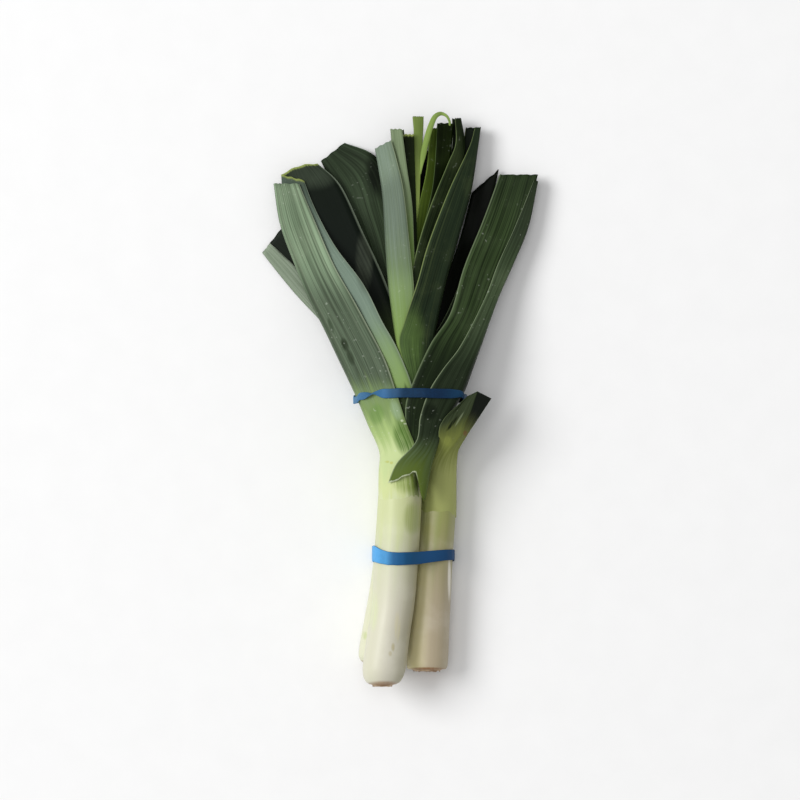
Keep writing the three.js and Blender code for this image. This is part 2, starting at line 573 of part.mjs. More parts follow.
const shafts = Object.entries(SHAFTS).map(([leek, { rows, colour }]) => {
  addMesh(`root_plate_${leek}`, rootPlate(rows[0]), ROOT_BROWN, ROUGHNESS.root);
  return addMesh(`shaft_${leek}`, shaftSolid(rows), colour, ROUGHNESS.shaft);
});
const leaves = Object.values(LEAVES).flat().map((leaf) => {
  const blade = foldedLeaf(leaf);
  const heart = leaf.name === 'leaf_a_heart';
  const geometry = heart ? fromSolid(toSolid(blade).add(curlSolid(leaf.surfaces[FRONT]))) : blade;
  return addMesh(leaf.name, geometry, leaf.colour, ROUGHNESS.leaf);
});
addMesh(SHORT_LEAF.name, shortLeaf(SHORT_LEAF), SHORT_LEAF.colour, ROUGHNESS.leaf);
addMesh('band_lower', rubberBand(LOWER_BAND, shafts), BAND_BLUE, ROUGHNESS.band);
addMesh('band_upper', rubberBand(UPPER_BAND, [...shafts, ...leaves]), BAND_BLUE, ROUGHNESS.band);

// The origin is under the middle of the bunch, on the surface that it lies on.
const extent = new THREE.Box3().setFromObject(bunch, true);
const middle = extent.getCenter(new THREE.Vector3());
bunch.position.set(-middle.x, -middle.y, -extent.min.z);
const part = new THREE.Group();
part.add(bunch);

export default part;
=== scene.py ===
# %% [markdown]
# # A bunch of leeks
#
# Three trimmed leeks lie on a plain pale surface, held by two flat rubber bands. The CAD model gives
# every leaf, shaft, root plate and band its place and form. Here each of them gets a finer piece that
# follows that form, with the veins, waxy bloom, pale margins and marks that a fresh leek has. Light and
# shade are also painted into some colours: painted shade on the leaves that lie in shade, the shafts'
# right flanks and the bands' right-hand parts, painted light on the shafts' left flanks and the bands'
# left ends, and a painted highlight along the dark leaves' margins.

import math
import random
from functools import partial

import bmesh
import bpy
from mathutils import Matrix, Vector
from mathutils.bvhtree import BVHTree


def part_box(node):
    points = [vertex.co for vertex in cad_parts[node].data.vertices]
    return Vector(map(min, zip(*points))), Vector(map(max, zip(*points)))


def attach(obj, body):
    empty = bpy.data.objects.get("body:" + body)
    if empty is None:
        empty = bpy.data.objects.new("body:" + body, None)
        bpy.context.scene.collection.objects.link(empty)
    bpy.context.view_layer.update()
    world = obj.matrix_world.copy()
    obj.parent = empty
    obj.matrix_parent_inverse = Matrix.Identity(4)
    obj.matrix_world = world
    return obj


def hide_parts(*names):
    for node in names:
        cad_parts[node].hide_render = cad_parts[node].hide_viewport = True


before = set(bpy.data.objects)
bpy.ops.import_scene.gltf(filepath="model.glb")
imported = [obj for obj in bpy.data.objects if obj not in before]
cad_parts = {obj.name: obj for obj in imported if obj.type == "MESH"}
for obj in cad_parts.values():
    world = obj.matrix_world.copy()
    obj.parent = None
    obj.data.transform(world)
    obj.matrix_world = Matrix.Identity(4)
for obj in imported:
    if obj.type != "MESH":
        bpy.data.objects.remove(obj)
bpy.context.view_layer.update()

# %% [markdown]
# ## Measures
#
# The leaves' outlines are rows of y, keel, front margin and back margin in millimetres, as on the CAD
# model, and CENTRING takes them to the middle of its box. The two numbers before a leaf's rows are the
# slants of its cut end, front and back. Rows crowd towards the base by STATION_SPREAD, and the cut's
# slant grows from CUT_FROM of the way along. A row of the short leaf is y, ridge, left margin and right
# margin, and a row of a shaft is y, centre, half width, centre height and half height.
#
# HALF_CAD_LEAF is half a leaf's thickness on the CAD model, and SHORT_CAD_FIRST is where the short leaf
# starts on it: the finer one reaches further down, as the skin of its shaft.

# %% Measures
MM = 0.001
CENTRING = Vector((0.045, 0.18, 0.0))
HALF_CAD_LEAF = 0.36
LEAF_THICKNESS = 0.62
STATION_SPREAD = 1.3
CUT_FROM = 0.55
random.seed(7)

LEAVES = {
    "leaf_c_left_outer": ((1.3, 1.3), [
        (-32, -7, 8, 9), (7, -19.5, -6, 2), (39, -40.6, -29.6, -17), (64, -64, -54.6, -39),
        (85, -83.5, -73.5, -60), (115, -107.9, -102, -92)]),
    "leaf_c_right_outer": ((0, 0), [
        (-26, 18, 3, 1), (-12, 20, 5, 3), (5, 27, 10, 7), (22, 37, 19, 16), (46, 48.4, 28, 25),
        (85, 65.5, 43.7, 40.6), (124, 82, 61, 58), (159, 94.4, 75.7, 72)]),
    "leaf_c_left_second": ((-0.2, -0.2), [
        (-12, -6, 9.4, 9.4), (31, -12.5, 6, 6), (62, -20.3, 0, 1.6), (92, -31, -8.6, -7.8),
        (113, -40.6, -20, -17), (138, -51.5, -31, -29.6), (163, -60.8, -46.8, -43.7)]),
    "leaf_c_left_third": ((0.79, 0.1), [
        (-2, -2, 11, 11), (39, -6.2, 9.4, 9.4), (85, -18.7, 4.7, 4.7), (117, -29.6, 0, 0),
        (138, -39, -5.5, -5.5), (163, -50, -15.6, -15.6), (187, -61.8, -43.3, -29)]),
    "leaf_c_left_fourth": ((0.2, 0.2), [
        (4, 2, 14, 14), (62, -3, 9.4, 9.4), (117, -12, 3, 3), (163, -22, -7, -7), (180, -27, -13, -13)]),
    "leaf_b_right_outer": ((-0.85, -0.85), [
        (-24, 43.5, 24, 24), (7, 42, 20, 20), (39, 44, 21, 21), (78, 52, 29.6, 29.6),
        (124, 65.5, 43, 43), (180, 77, 56, 56)]),
    "leaf_b_left_outer": ((0, 0), [
        (-16, 22.5, 39, 39), (5, 17, 36, 36), (30, 12, 31, 31), (62, 8, 27, 27), (117, 6, 27, 27),
        (171, 9.4, 31, 31), (195, 11, 31, 31)]),
    "leaf_a_right_outer": ((0, 0), [
        (-78, 18.7, 14, 14), (-64, 21.8, -8.6, 2), (-49, 25, -2.3, -1.6), (-32, 31.2, 12.5, 3),
        (-13, 39, 15.6, 6), (7, 50.2, 22.6, 11.7), (24, 56.6, 33.4, 20.5), (43, 63.5, 47.6, 31),
        (79, 76.5, 66, 48), (106, 88.4, 76.4, 62), (135, 100.2, 89.7, 78), (171, 107.8, 104.5, 95)]),
    "leaf_a_left_outer": ((0, 0), [
        (-56, -16.4, 12, 12), (-40, -16, 13, 12), (-20, -24.6, 5.6, 4.7), (3, -34.3, -2, -4),
        (31, -47.6, -11.7, -17), (57, -60, -25, -29.6), (80, -71.8, -37.4, -42),
        (105, -82, -51.5, -56), (137, -93.6, -65.5, -69.4), (169, -98.7, -78.8, -82.7)]),
    "leaf_a_right_second": ((0, 0), [
        (-48, 18, 4, 4), (-32, 23.4, 5.6, 5.6), (-7, 36, 4, 4), (11, 46, 8.8, 7),
        (43, 60, 23.4, 21.8), (67, 69, 39, 36), (103, 84, 49.7, 51.5), (140, 98, 64.7, 67),
        (176, 107.6, 78, 78)]),
    "leaf_a_left_second": ((-0.25, 0.3), [
        (-20, -13, 7.8, 7.8), (0, -18.7, 9.4, 9.4), (14, -26.5, 8.3, 9.4), (41, -41.3, -2.7, 6),
        (62, -51.5, -14.4, 0), (93, -67, -29.6, -12.5), (124, -80.3, -50.7, -29.6),
        (156, -90.5, -67, -46.8), (176, -92.8, -75, -64.5)]),
    "leaf_a_right_third": ((0, 0), [
        (-4, 22, 7, 7), (14, 24, 6.4, 6.4), (43, 27, -0.8, 0), (60, 29, 3, 4.7),
        (91, 35.5, 13.3, 14), (121, 44, 21.8, 23.4), (163, 55.4, 38, 37.4),
        (197, 60.8, 53.8, 48.4), (213, 63, 58.5, 51.5)]),
    "leaf_a_left_third": ((0.5, 0.5), [
        (14, -4, 13.5, 13.5), (43, -3.5, 11.7, 13), (86, -8.6, 10.8, 12.5), (116, -11, 7.8, 10),
        (156, -13.3, 2.9, 6), (179, -16.4, -2.3, 1.6), (196, -19.5, -7, -3)]),
    "leaf_a_right_fourth": ((0, 0), [
        (14, 20.6, 6, 6), (46, 22, 6, 6), (78, 25, 8.6, 8.6), (108, 30, 11, 11.7),
        (146, 40.6, 21.8, 21.8), (182, 49, 36.3, 36), (200, 50.7, 43.4, 41), (220, 47.6, 43, 40.6)]),
    "leaf_a_left_fourth": ((0, 0), [
        (15, 1, 14.8, 14.8), (46, 1.5, 14, 14), (117, 1.2, 11, 12.5), (152, -0.8, 9.4, 10),
        (182, -4.7, 5.2, 7), (211, -7.4, 1.6, 3)]),
    "leaf_a_right_fifth": ((0, 0), [
        (15, 17.8, 8.6, 8.6), (62, 19, 9.4, 9.4), (108, 25, 14, 14), (136, 30.6, 18.7, 18.7),
        (170, 37, 25.7, 25.7), (216, 42, 29, 29.6)]),
    "leaf_a_left_fifth": ((0, 0), [
        (16, 4.6, 14.4, 14.4), (93, 5, 14, 14), (156, 5, 12.5, 12.5), (207, 2.7, 10.8, 10.9)]),
    "leaf_a_right_sixth": ((0, 0), [
        (16, 15.4, 7.6, 7.6), (78, 16.4, 8.4, 8.4), (124, 21.8, 12, 12), (152, 26, 15, 15),
        (179, 29, 20.7, 20.3), (212, 29.6, 24, 23.4)]),
    "leaf_a_heart": ((0, 0), [
        (17, 7.6, 12.6, 12.6), (101, 9, 14, 14), (170, 10.5, 15.6, 15.6),
        (205, 11, 17.8, 17), (221, 10, 18.4, 18)]),
}

SHORT_SLANT = -0.5
SHORT_CAD_FIRST = -62
SHORT_LEAF = [
    (-92, 30.0, 15.9, 43.7), (-78, 30.6, 17.0, 43.8), (-66, 31.2, 18.0, 43.8), (-55, 32.4, 20.5, 43.9),
    (-46, 35.0, 24.6, 44.4), (-38, 39.6, 28.6, 45.8), (-27, 48.2, 29.8, 52), (-18, 50.4, 30.1, 57),
    (-9, 54.8, 31.9, 62.3), (-1, 57.6, 37.8, 66.7), (6.5, 60.2, 52.8, 71)]

SHAFTS = {
    "a": [
        (-221.5, -13.6, 10.5, 39.6, 9.6), (-219, -13.4, 13.8, 39.6, 12.6), (-213, -13, 16.2, 39.7, 14.8),
        (-204, -12, 16.9, 39.8, 15.4), (-182, -9, 16.6, 40, 15.3), (-157, -5.3, 16.6, 40.2, 15.3),
        (-122, -3, 17.2, 40.5, 15.6), (-92, -1, 17.1, 41, 15.5), (-74, -0.2, 16.7, 41.6, 15),
        (-60, -0.6, 14.4, 42.2, 13), (-50, -0.8, 12.4, 42.8, 11), (-36, -0.6, 11, 43.4, 8.8),
        (-18, 1, 9.6, 43.8, 6.2), (-2, 4, 7.4, 44, 3.8), (8, 6, 5, 44, 2.2), (12, 7, 3, 44, 1.2)],
    "b": [
        (-210.5, 21, 14.6, 17.8, 14.4), (-208.5, 21, 15.8, 17.8, 15.9), (-200, 21.4, 16.1, 17.9, 16.2),
        (-174, 23, 15.5, 18, 16.2), (-146, 24.8, 15.1, 18.1, 16.3), (-122, 26.2, 14.9, 18.1, 16.4),
        (-85, 29.5, 14, 18.3, 15.4), (-60, 31.5, 11.8, 18.4, 12.2), (-40, 33, 9.4, 19.4, 7.6),
        (-20, 33, 7.5, 22, 4), (-6, 32, 5, 23, 2.2), (2, 31.5, 3, 23, 1.2)],
    "c": [
        (-205.5, -19.6, 9.6, 12.7, 8.4), (-203, -19.5, 12, 12.8, 10.3), (-196, -18.8, 13.5, 12.9, 11.2),
        (-170, -14.2, 13.5, 13.1, 11.4), (-149, -10.6, 13.3, 13.1, 11.4), (-122, -6.6, 13.4, 13.1, 11.4),
        (-90, -2, 13.2, 13.3, 11.2), (-60, 2, 11.6, 13.7, 8.8), (-40, 4, 9.6, 14, 6.4),
        (-20, 6, 8, 14.2, 4), (-6, 7.5, 6, 14, 2.4), (2, 8, 3, 14, 1.2)],
}
print(len(LEAVES) + 1, "leaves,", len(SHAFTS), "shafts")


# %% [markdown]
# ## Tools for curves and faces
#
# A leek's outlines are smooth, so every table is read through the same spline as on the CAD model. The
# height of each leaf is found on its CAD node, so that the finer blade keeps the node's form.

# %% Tools for curves and faces
def lerp(a, b, t):
    return a + (b - a) * t


def smoothstep(x, low, high):
    t = min(max((x - low) / (high - low), 0.0), 1.0)
    return t * t * (3 - 2 * t)


def spline(values, t):
    """A smooth curve through evenly spaced values, read at t from 0 to 1."""
    last = len(values) - 1
    i = min(int(t * last), last - 1)
    f = t * last - i
    p1, p2 = values[i], values[i + 1]
    p0 = values[i - 1] if i > 0 else 2 * p1 - p2
    p3 = values[i + 2] if i + 2 <= last else 2 * p2 - p1
    bend = (2 * p0 - 5 * p1 + 4 * p2 - p3) * f * f + (3 * p1 - p0 - 3 * p2 + p3) * f ** 3
    return p1 + 0.5 * ((p2 - p0) * f + bend)


def read(rows, t):
    """A row of a table at t from 0 to 1, smooth between its rows."""
    return [spline(column, t) for column in zip(*rows)]


def tree_of(node):
    """The CAD node's faces, for finding heights on it, in metres."""
    mesh = bmesh.new()
    mesh.from_mesh(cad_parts[node].data)
    tree = BVHTree.FromBMesh(mesh)
    mesh.free()
    return tree


# Where a look for a height starts, in mm: outside the bunch, or at the fan's top if nothing is hit.
OUTSIDE = 200
FAN_TOP = 60


def height(tree, x, y, down):
    """Height in mm of the leaf's middle at x and y in mm, seen from above or from below."""
    start = Vector((x, y, 0)) + CENTRING
    start.z = OUTSIDE if down else -OUTSIDE
    hit = tree.ray_cast(start * MM, Vector((0, 0, -1 if down else 1)))[0]
    if hit is None:
        start.z = FAN_TOP if down else 0
        hit = tree.find_nearest(start * MM)[0]
    return hit.z / MM + (-HALF_CAD_LEAF if down else HALF_CAD_LEAF)


def smoothed(field, passes):
    """A table of heights with each row averaged with the rows before and after it."""
    last = len(field) - 1
    for _ in range(passes):
        field = [[(before + 2 * here + after) / 4 for before, here, after in zip(
            field[max(j - 1, 0)], field[j], field[min(j + 1, last)])] for j in range(len(field))]
    return field


def grid(columns, rows, place, wrap=False):
    """A bmesh sheet of points from place(i, j), in mm, with i and j kept in its UV map. wrap joins the
    edges that meet, as round a tube."""
    mesh = bmesh.new()
    uv = mesh.loops.layers.uv.new("UVMap")
    bmesh.ops.create_grid(mesh, x_segments=columns - 1, y_segments=rows - 1, size=1, calc_uvs=False)
    for face in mesh.faces:
        for loop in face.loops:
            loop[uv].uv = ((loop.vert.co.x + 1) / 2, (loop.vert.co.y + 1) / 2)
    for vert in mesh.verts:
        i = round((vert.co.x + 1) / 2 * (columns - 1))
        j = round((vert.co.y + 1) / 2 * (rows - 1))
        vert.co = (Vector(place(i, j)) + CENTRING) * MM
    if wrap:
        bmesh.ops.remove_doubles(mesh, verts=mesh.verts, dist=1e-7)
    return mesh


def finished(mesh, name, nodes, material):
    """The object for a bmesh, smooth, riding on the CAD body in place of the nodes."""
    data = bpy.data.meshes.new(name)
    bmesh.ops.recalc_face_normals(mesh, faces=mesh.faces)
    for face in mesh.faces:
        face.smooth = True
    mesh.to_mesh(data)
    mesh.free()
    piece = bpy.data.objects.new(name, data)
    bpy.context.scene.collection.objects.link(piece)
    data.materials.append(material)
    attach(piece, "root")
    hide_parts(*nodes)
    return piece


def thicken(piece, thickness):
    """Gives a sheet its thickness in mm, half on each side."""
    solid = piece.modifiers.new("thickness", "SOLIDIFY")
    solid.thickness = thickness * MM
    solid.offset = 0
    solid.use_even_offset = False


# %% [markdown]
# ## A small language for finishes
#
# Leaf tissue has no flat colour: it is streaked along its veins, dusted with wax and paler at the base
# and along the cut. All of it comes from patterns worked out from a place on the leaf.

# %% A small language for finishes
def paint(code):
    """A colour from its six hex digits, as the renderer's linear values."""
    channels = [int(code[i:i + 2], 16) / 255 for i in (0, 2, 4)]
    return (*[c / 12.92 if c <= 0.04045 else ((c + 0.055) / 1.055) ** 2.4 for c in channels], 1.0)


class Wire:
    """A socket in a material's tree. Arithmetic on it adds the nodes that do it."""

    def __init__(self, tree, socket=None):
        self.tree = tree
        self.socket = socket

    def node(self, kind, settings={}, values={}, out=0):
        made = self.tree.nodes.new(kind)
        for key, value in settings.items():
            setattr(made, key, value)
        for key, value in values.items():
            if isinstance(value, Wire):
                self.tree.links.new(value.socket, made.inputs[key])
            else:
                made.inputs[key].default_value = value
        return Wire(self.tree, made.outputs[out])

    def math(self, operation, *values):
        return self.node("ShaderNodeMath", {"operation": operation}, dict(enumerate(values)))

    def __add__(self, other):
        return self.math("ADD", self, other)

    def __sub__(self, other):
        return self.math("SUBTRACT", self, other)

    def __rsub__(self, other):
        return self.math("SUBTRACT", other, self)

    def __mul__(self, other):
        return self.math("MULTIPLY", self, other)

    def __truediv__(self, other):
        return self.math("DIVIDE", self, other)

    def __rtruediv__(self, other):
        return self.math("DIVIDE", other, self)

    __radd__ = __add__
    __rmul__ = __mul__

    def magnitude(self):
        return self.math("ABSOLUTE", self)

    def ramp(self, low, high):
        """0 below low and 1 above high, smooth between, or the other way round."""
        return self.node("ShaderNodeMapRange", {"interpolation_type": "SMOOTHSTEP"},
                         {"Value": self, "From Min": low, "From Max": high})

    def mix(self, first, second):
        """The first colour at 0 and the second at 1."""
        return self.node("ShaderNodeMix", {"data_type": "RGBA"}, {0: self, 6: first, 7: second}, out=2)

    def vector(self, x, y, z):
        return self.node("ShaderNodeCombineXYZ", {}, {0: x, 1: y, 2: z})

    def noise(self, position, scale, detail=3.0):
        return self.node("ShaderNodeTexNoise", {},
                         {"Vector": position, "Scale": scale, "Detail": detail})

    def parts(self, vector):
        first = self.node("ShaderNodeSeparateXYZ", {}, {0: vector})
        return [Wire(self.tree, socket) for socket in first.socket.node.outputs]


def material(name, look, specular=0.35):
    """A material from look(wire), which returns its colour, roughness, bump height, bump size, coat."""
    made = bpy.data.materials.new(name)
    made.use_nodes = True
    tree = made.node_tree
    tree.nodes.clear()
    wire = Wire(tree)
    colour, roughness, relief, size, coat = look(wire)
    bump = wire.node("ShaderNodeBump", {}, {"Height": relief, "Distance": size * MM, "Strength": 1.0})
    shader = wire.node("ShaderNodeBsdfPrincipled", {}, {
        "Base Color": colour, "Roughness": roughness, "Normal": bump, "Coat Weight": coat,
        "Coat Roughness": 0.25, "Specular IOR Level": specular})
    output = tree.nodes.new("ShaderNodeOutputMaterial")
    tree.links.new(shader.socket, output.inputs["Surface"])
    return made


print("a leaf green, linear:", [round(channel, 3) for channel in paint("8ba183")])


# %% [markdown]
# ## Camera, light and floor
#
# The bunch is seen straight from above through a long lens. Soft light comes from the left, so the
# right-hand leaves fall into shade, and the surface under it is plain and pale.

# %% Camera, light and floor
CAMERA_HEIGHT = 6.0
PICTURE_WIDTH = 0.624
FOCUS_HEIGHT = 0.03
SENSOR = 36
LIGHTS = {"key": ((-5.2, 1.7, 5.6), 4.2, 430), "top": ((-0.4, 0.4, 5.2), 3.0, 50)}
SURROUNDINGS = 0.42
FLOOR_HALF = 4

scene = bpy.context.scene
scene.view_settings.view_transform = "Standard"
camera_data = bpy.data.cameras.new("camera")
camera_data.sensor_width = SENSOR
camera_data.lens = SENSOR * (CAMERA_HEIGHT - FOCUS_HEIGHT) / PICTURE_WIDTH
camera = bpy.data.objects.new("camera", camera_data)
camera.location = (0, 0, CAMERA_HEIGHT)
scene.collection.objects.link(camera)
scene.camera = camera


def area_light(name, place, size, watts):
    """A round soft light that faces the bunch."""
    data = bpy.data.lights.new(name, "AREA")
    data.shape = "DISK"
    data.size = size
    data.energy = watts
    light = bpy.data.objects.new(name, data)
    light.location = place
    light.rotation_euler = (-Vector(place)).to_track_quat("-Z", "Y").to_euler()
    scene.collection.objects.link(light)


for name, (place, size, watts) in LIGHTS.items():
    area_light(name, place, size, watts)

world = bpy.data.worlds.new("studio")
world.use_nodes = True
world.node_tree.nodes["Background"].inputs["Color"].default_value = (1, 1, 1, 1)
world.node_tree.nodes["Background"].inputs["Strength"].default_value = SURROUNDINGS
scene.world = world

floor_mesh = bmesh.new()
bmesh.ops.create_grid(floor_mesh, x_segments=1, y_segments=1, size=FLOOR_HALF)
floor_data = bpy.data.meshes.new("floor")
floor_mesh.to_mesh(floor_data)
floor_mesh.free()
floor = bpy.data.objects.new("floor", floor_data)
scene.collection.objects.link(floor)
floor_data.materials.append(material("floor_paper", lambda w: (
    w.noise(w.node("ShaderNodeTexCoord", out=3), 40).ramp(0, 1).mix(paint("f1f1f1"), paint("f4f4f4")),
    0.9, w.noise(w.node("ShaderNodeTexCoord", out=3), 900), 0.01, 0.0)))
print("lens", round(camera_data.lens), "mm")


# %% [markdown]
# ## Leaves
#
# A leek's leaf is a strap folded along its keel: one half lies in front of the younger leaves and one
# half behind them. Each is a sheet from the back margin, round the fold, to the front margin. The fine
# waves of the margins are small against its width.
#
# Heights are read from the node within a share of each half's width and a little inside its ends, where
# the node surely has a face, and are then smoothed along the leaf.

# %% Leaf blades
HALF_COLUMNS = 13
FOLD_CROWDING = 0.55
LEAF_ROWS = 64
FOLD_SHARE = 0.13
WITHIN = 0.95
BASE_INSET = 0.4
TIP_INSET = 0.6
HEIGHT_PASSES = 2
RAGGED = 0.4
RAGGED_TURNS = 17
RAGGED_FROM = 0.93
BOW_FROM = 0.8
FOOT_LENGTH = 26
RIPPLES = [(0.11, 1, 0.6), (0.27, 3, 0.4)]
RIPPLE_ROWS = (4, 14)


def half_shares():
    """Shares of a half's width from the keel to the margin, closest together at the fold."""
    steps = [i / (HALF_COLUMNS - 1) for i in range(HALF_COLUMNS)]
    return [lerp(s, s * s, FOLD_CROWDING) for s in steps]


def leaf_sheet(node, slants, rows, wave, bow=0.0, sheath=None, foot=None):
    """The folded blade. bow rounds the cut end of its back half, sheath gives its height where it
    leaves the shaft, and foot shapes its base."""
    tree = tree_of(node)
    front_slant, back_slant = slants
    first, last = rows[0][0], rows[-1][0]
    node_first = LEAVES[node][1][0][0]
    shares = half_shares()
    across = [-s for s in reversed(shares)] + shares[1:]
    phase = random.uniform(0, 6)
    plan, heights = [], []
    for j in range(LEAF_ROWS):
        y, keel, front, back = read(rows, j / (LEAF_ROWS - 1))
        along = max((y - first) / (last - first), 0.0) ** (1 / STATION_SPREAD)
        line, levels = [], []
        for share in across:
            margin, slant = (front, front_slant) if share > 0 else (back, back_slant)
            offset = (margin - keel) * abs(share)
            cut = y + slant * abs(offset) * smoothstep(along, CUT_FROM, 1)
            cut += RAGGED * math.sin(share * RAGGED_TURNS + phase) * smoothstep(along, RAGGED_FROM, 1)
            if share < 0:
                cut -= bow * 4 * share * (1 + share) * smoothstep(along, BOW_FROM, 1)
            if foot and share > 0:
                cut += foot(share) * smoothstep(y, first + FOOT_LENGTH, first)
            line.append((keel + offset, cut))
            safe = min(max(abs(share), FOLD_SHARE), WITHIN)
            inner = min(max(cut, node_first + BASE_INSET), last + slant * abs(offset) - TIP_INSET)
            levels.append(height(tree, keel + (margin - keel) * safe, inner, share > 0))
        plan.append(line)
        heights.append(levels)
    heights = smoothed(heights, HEIGHT_PASSES)
    keel_column = len(shares) - 1

    def place(i, j):
        x, y = plan[j][i]
        share = abs(across[i])
        level = heights[j][i]
        if share < FOLD_SHARE:
            fold = (heights[j][keel_column - 3] + heights[j][keel_column + 3]) / 2
            level = lerp(fold, level, math.sqrt(1 - (1 - share / FOLD_SHARE) ** 2))
        ripple = sum(math.sin(y * often + phase * turns) * size for often, turns, size in RIPPLES)
        level += wave * ripple * share ** 3 * smoothstep(j, *RIPPLE_ROWS)
        if sheath:
            level = sheath(x, y, level, across[i] > 0)
        return x, y, level

    return grid(len(across), LEAF_ROWS, place)


print(2 * HALF_COLUMNS - 1, "columns and", LEAF_ROWS, "rows in a blade")


# %% [markdown]
# ## The leaves' finish
#
# The finish runs along the veins: fine and broad streaks, light lines and a dusting of wax. The half
# behind is darkened with painted shade, the base turns yellow-green, and the margins are pale, with a
# painted highlight along them on the dark leaves. Stains, specks, the pale skin near the shaft and a few
# patches of painted shade are laid over them at their own places.

# %% The leaves' finish
LEAF_SPECULAR = 0.06


def spot(wire, x, y, at, size):
    """1 at a place on the object, in mm, falling to 0 at size = (half width, half length) from it.
    A third number in size turns the length that many radians to the left."""
    half_width, half_length, turn = (*size, 0.0)[:3]
    across, along = x - at[0] * MM, y - at[1] * MM
    dx = (across * math.cos(turn) + along * math.sin(turn)) / (half_width * MM)
    dy = (along * math.cos(turn) - across * math.sin(turn)) / (half_length * MM)
    return (dx * dx + dy * dy).ramp(1.0, 0.1)


def leaf_look(face, shade, base, margin, base_end=0.2, base_start=0.0, streak=0.5, inner=0.5,
              ridges=0.12, dust=0.08, speck=0.1, tip=None, torn=None, skin=(), marks=(), dims=()):
    """The finish of a blade. Its UV map runs from the back to the front margin, and from base to tip.

    face and shade are the streaks' two colours, inner darkens the back half, and the base colour fades
    out between base_start and base_end. tip and torn colour the cut and the torn end. dims darken the
    blade from rise to full and back from fade to gone. skin recolours it below a height, and marks are
    spots as (place, size, colour, strength)."""
    def look(wire):
        u, v, _ = wire.parts(wire.node("ShaderNodeUVMap", {"uv_map": "UVMap"}))
        place = wire.node("ShaderNodeTexCoord", out=3)
        x, y, _ = wire.parts(place)
        from_keel = (u * 2 - 1).magnitude()
        front = u.ramp(0.49, 0.51)
        fine = wire.noise(wire.vector(u * 95, v * 3.2, face_seed(face)), 1.0, 2.0)
        broad = wire.noise(wire.vector(u * 26, v * 1.6, face_seed(shade)), 1.0, 3.0)
        cloud = wire.noise(place, 38.0, 4.0)
        veins = fine * 0.55 + broad * 0.45
        colour = veins.ramp(0.5 - 0.22 / (0.4 + streak), 0.5 + 0.22 / (0.4 + streak)).mix(
            paint(shade), paint(face))
        pale = paint(margin)
        lines = wire.noise(wire.vector(u * 160, v * 1.3, face_seed(margin)), 1.0, 1.0).ramp(0.58, 0.72)
        colour = (lines * ridges).mix(colour, pale)
        colour = (cloud.ramp(0.42, 0.72) * dust).mix(colour, pale)
        # Painted shade: inner darkens the back half, which lies behind the younger leaves, towards near
        # black.
        colour = (front.ramp(1, 0) * inner).mix(colour, paint("0d130e"))
        for rise, full, fade, gone, depth in dims:
            dim = v.ramp(rise, full) * v.ramp(gone, fade) * depth
            colour = dim.mix(colour, paint("10180e"))
        base_at = v + (broad - 0.5) * 0.1
        colour = base_at.ramp(base_end, base_start).mix(colour, paint(base))
        # Pale margins are the leaves' own colour. On the dark leaves on the right, the pale edge is also
        # a painted highlight where the edge catches the light.
        edge = from_keel.ramp(0.972, 0.997) * 0.7
        colour = edge.mix(colour, pale)
        for high, low, code in skin:
            colour = (y + (broad - 0.5) * 0.03).ramp(high * MM, low * MM).mix(colour, paint(code))
        for at, size, code, strength in marks:
            uneven = 0.6 + (fine - 0.5) * 1.5 + (cloud - 0.5)
            colour = (spot(wire, x, y, at, size) * uneven * strength).mix(colour, paint(code))
        if torn:
            rim = (v + (fine - 0.5) * 0.012).ramp(0.01, 0.003) * u.ramp(0.66, 0.74) * 0.7
            colour = rim.mix(colour, paint(torn))
        if tip:
            colour = (v + (fine - 0.5) * 0.02).ramp(0.985, 0.997).mix(colour, paint(tip))
        dots = wire.noise(place, 420.0, 0.0).ramp(0.74, 0.8) * cloud.ramp(0.45, 0.6) * front * speck
        colour = dots.mix(colour, paint("cfd6c8"))
        roughness = 0.5 + (broad - 0.5) * 0.2
        return colour, roughness, veins, 0.12, 0.0

    return look


def face_seed(code):
    """A number for a colour code, so that leaves of different colour differ in pattern."""
    return int(code, 16) % 97 / 7
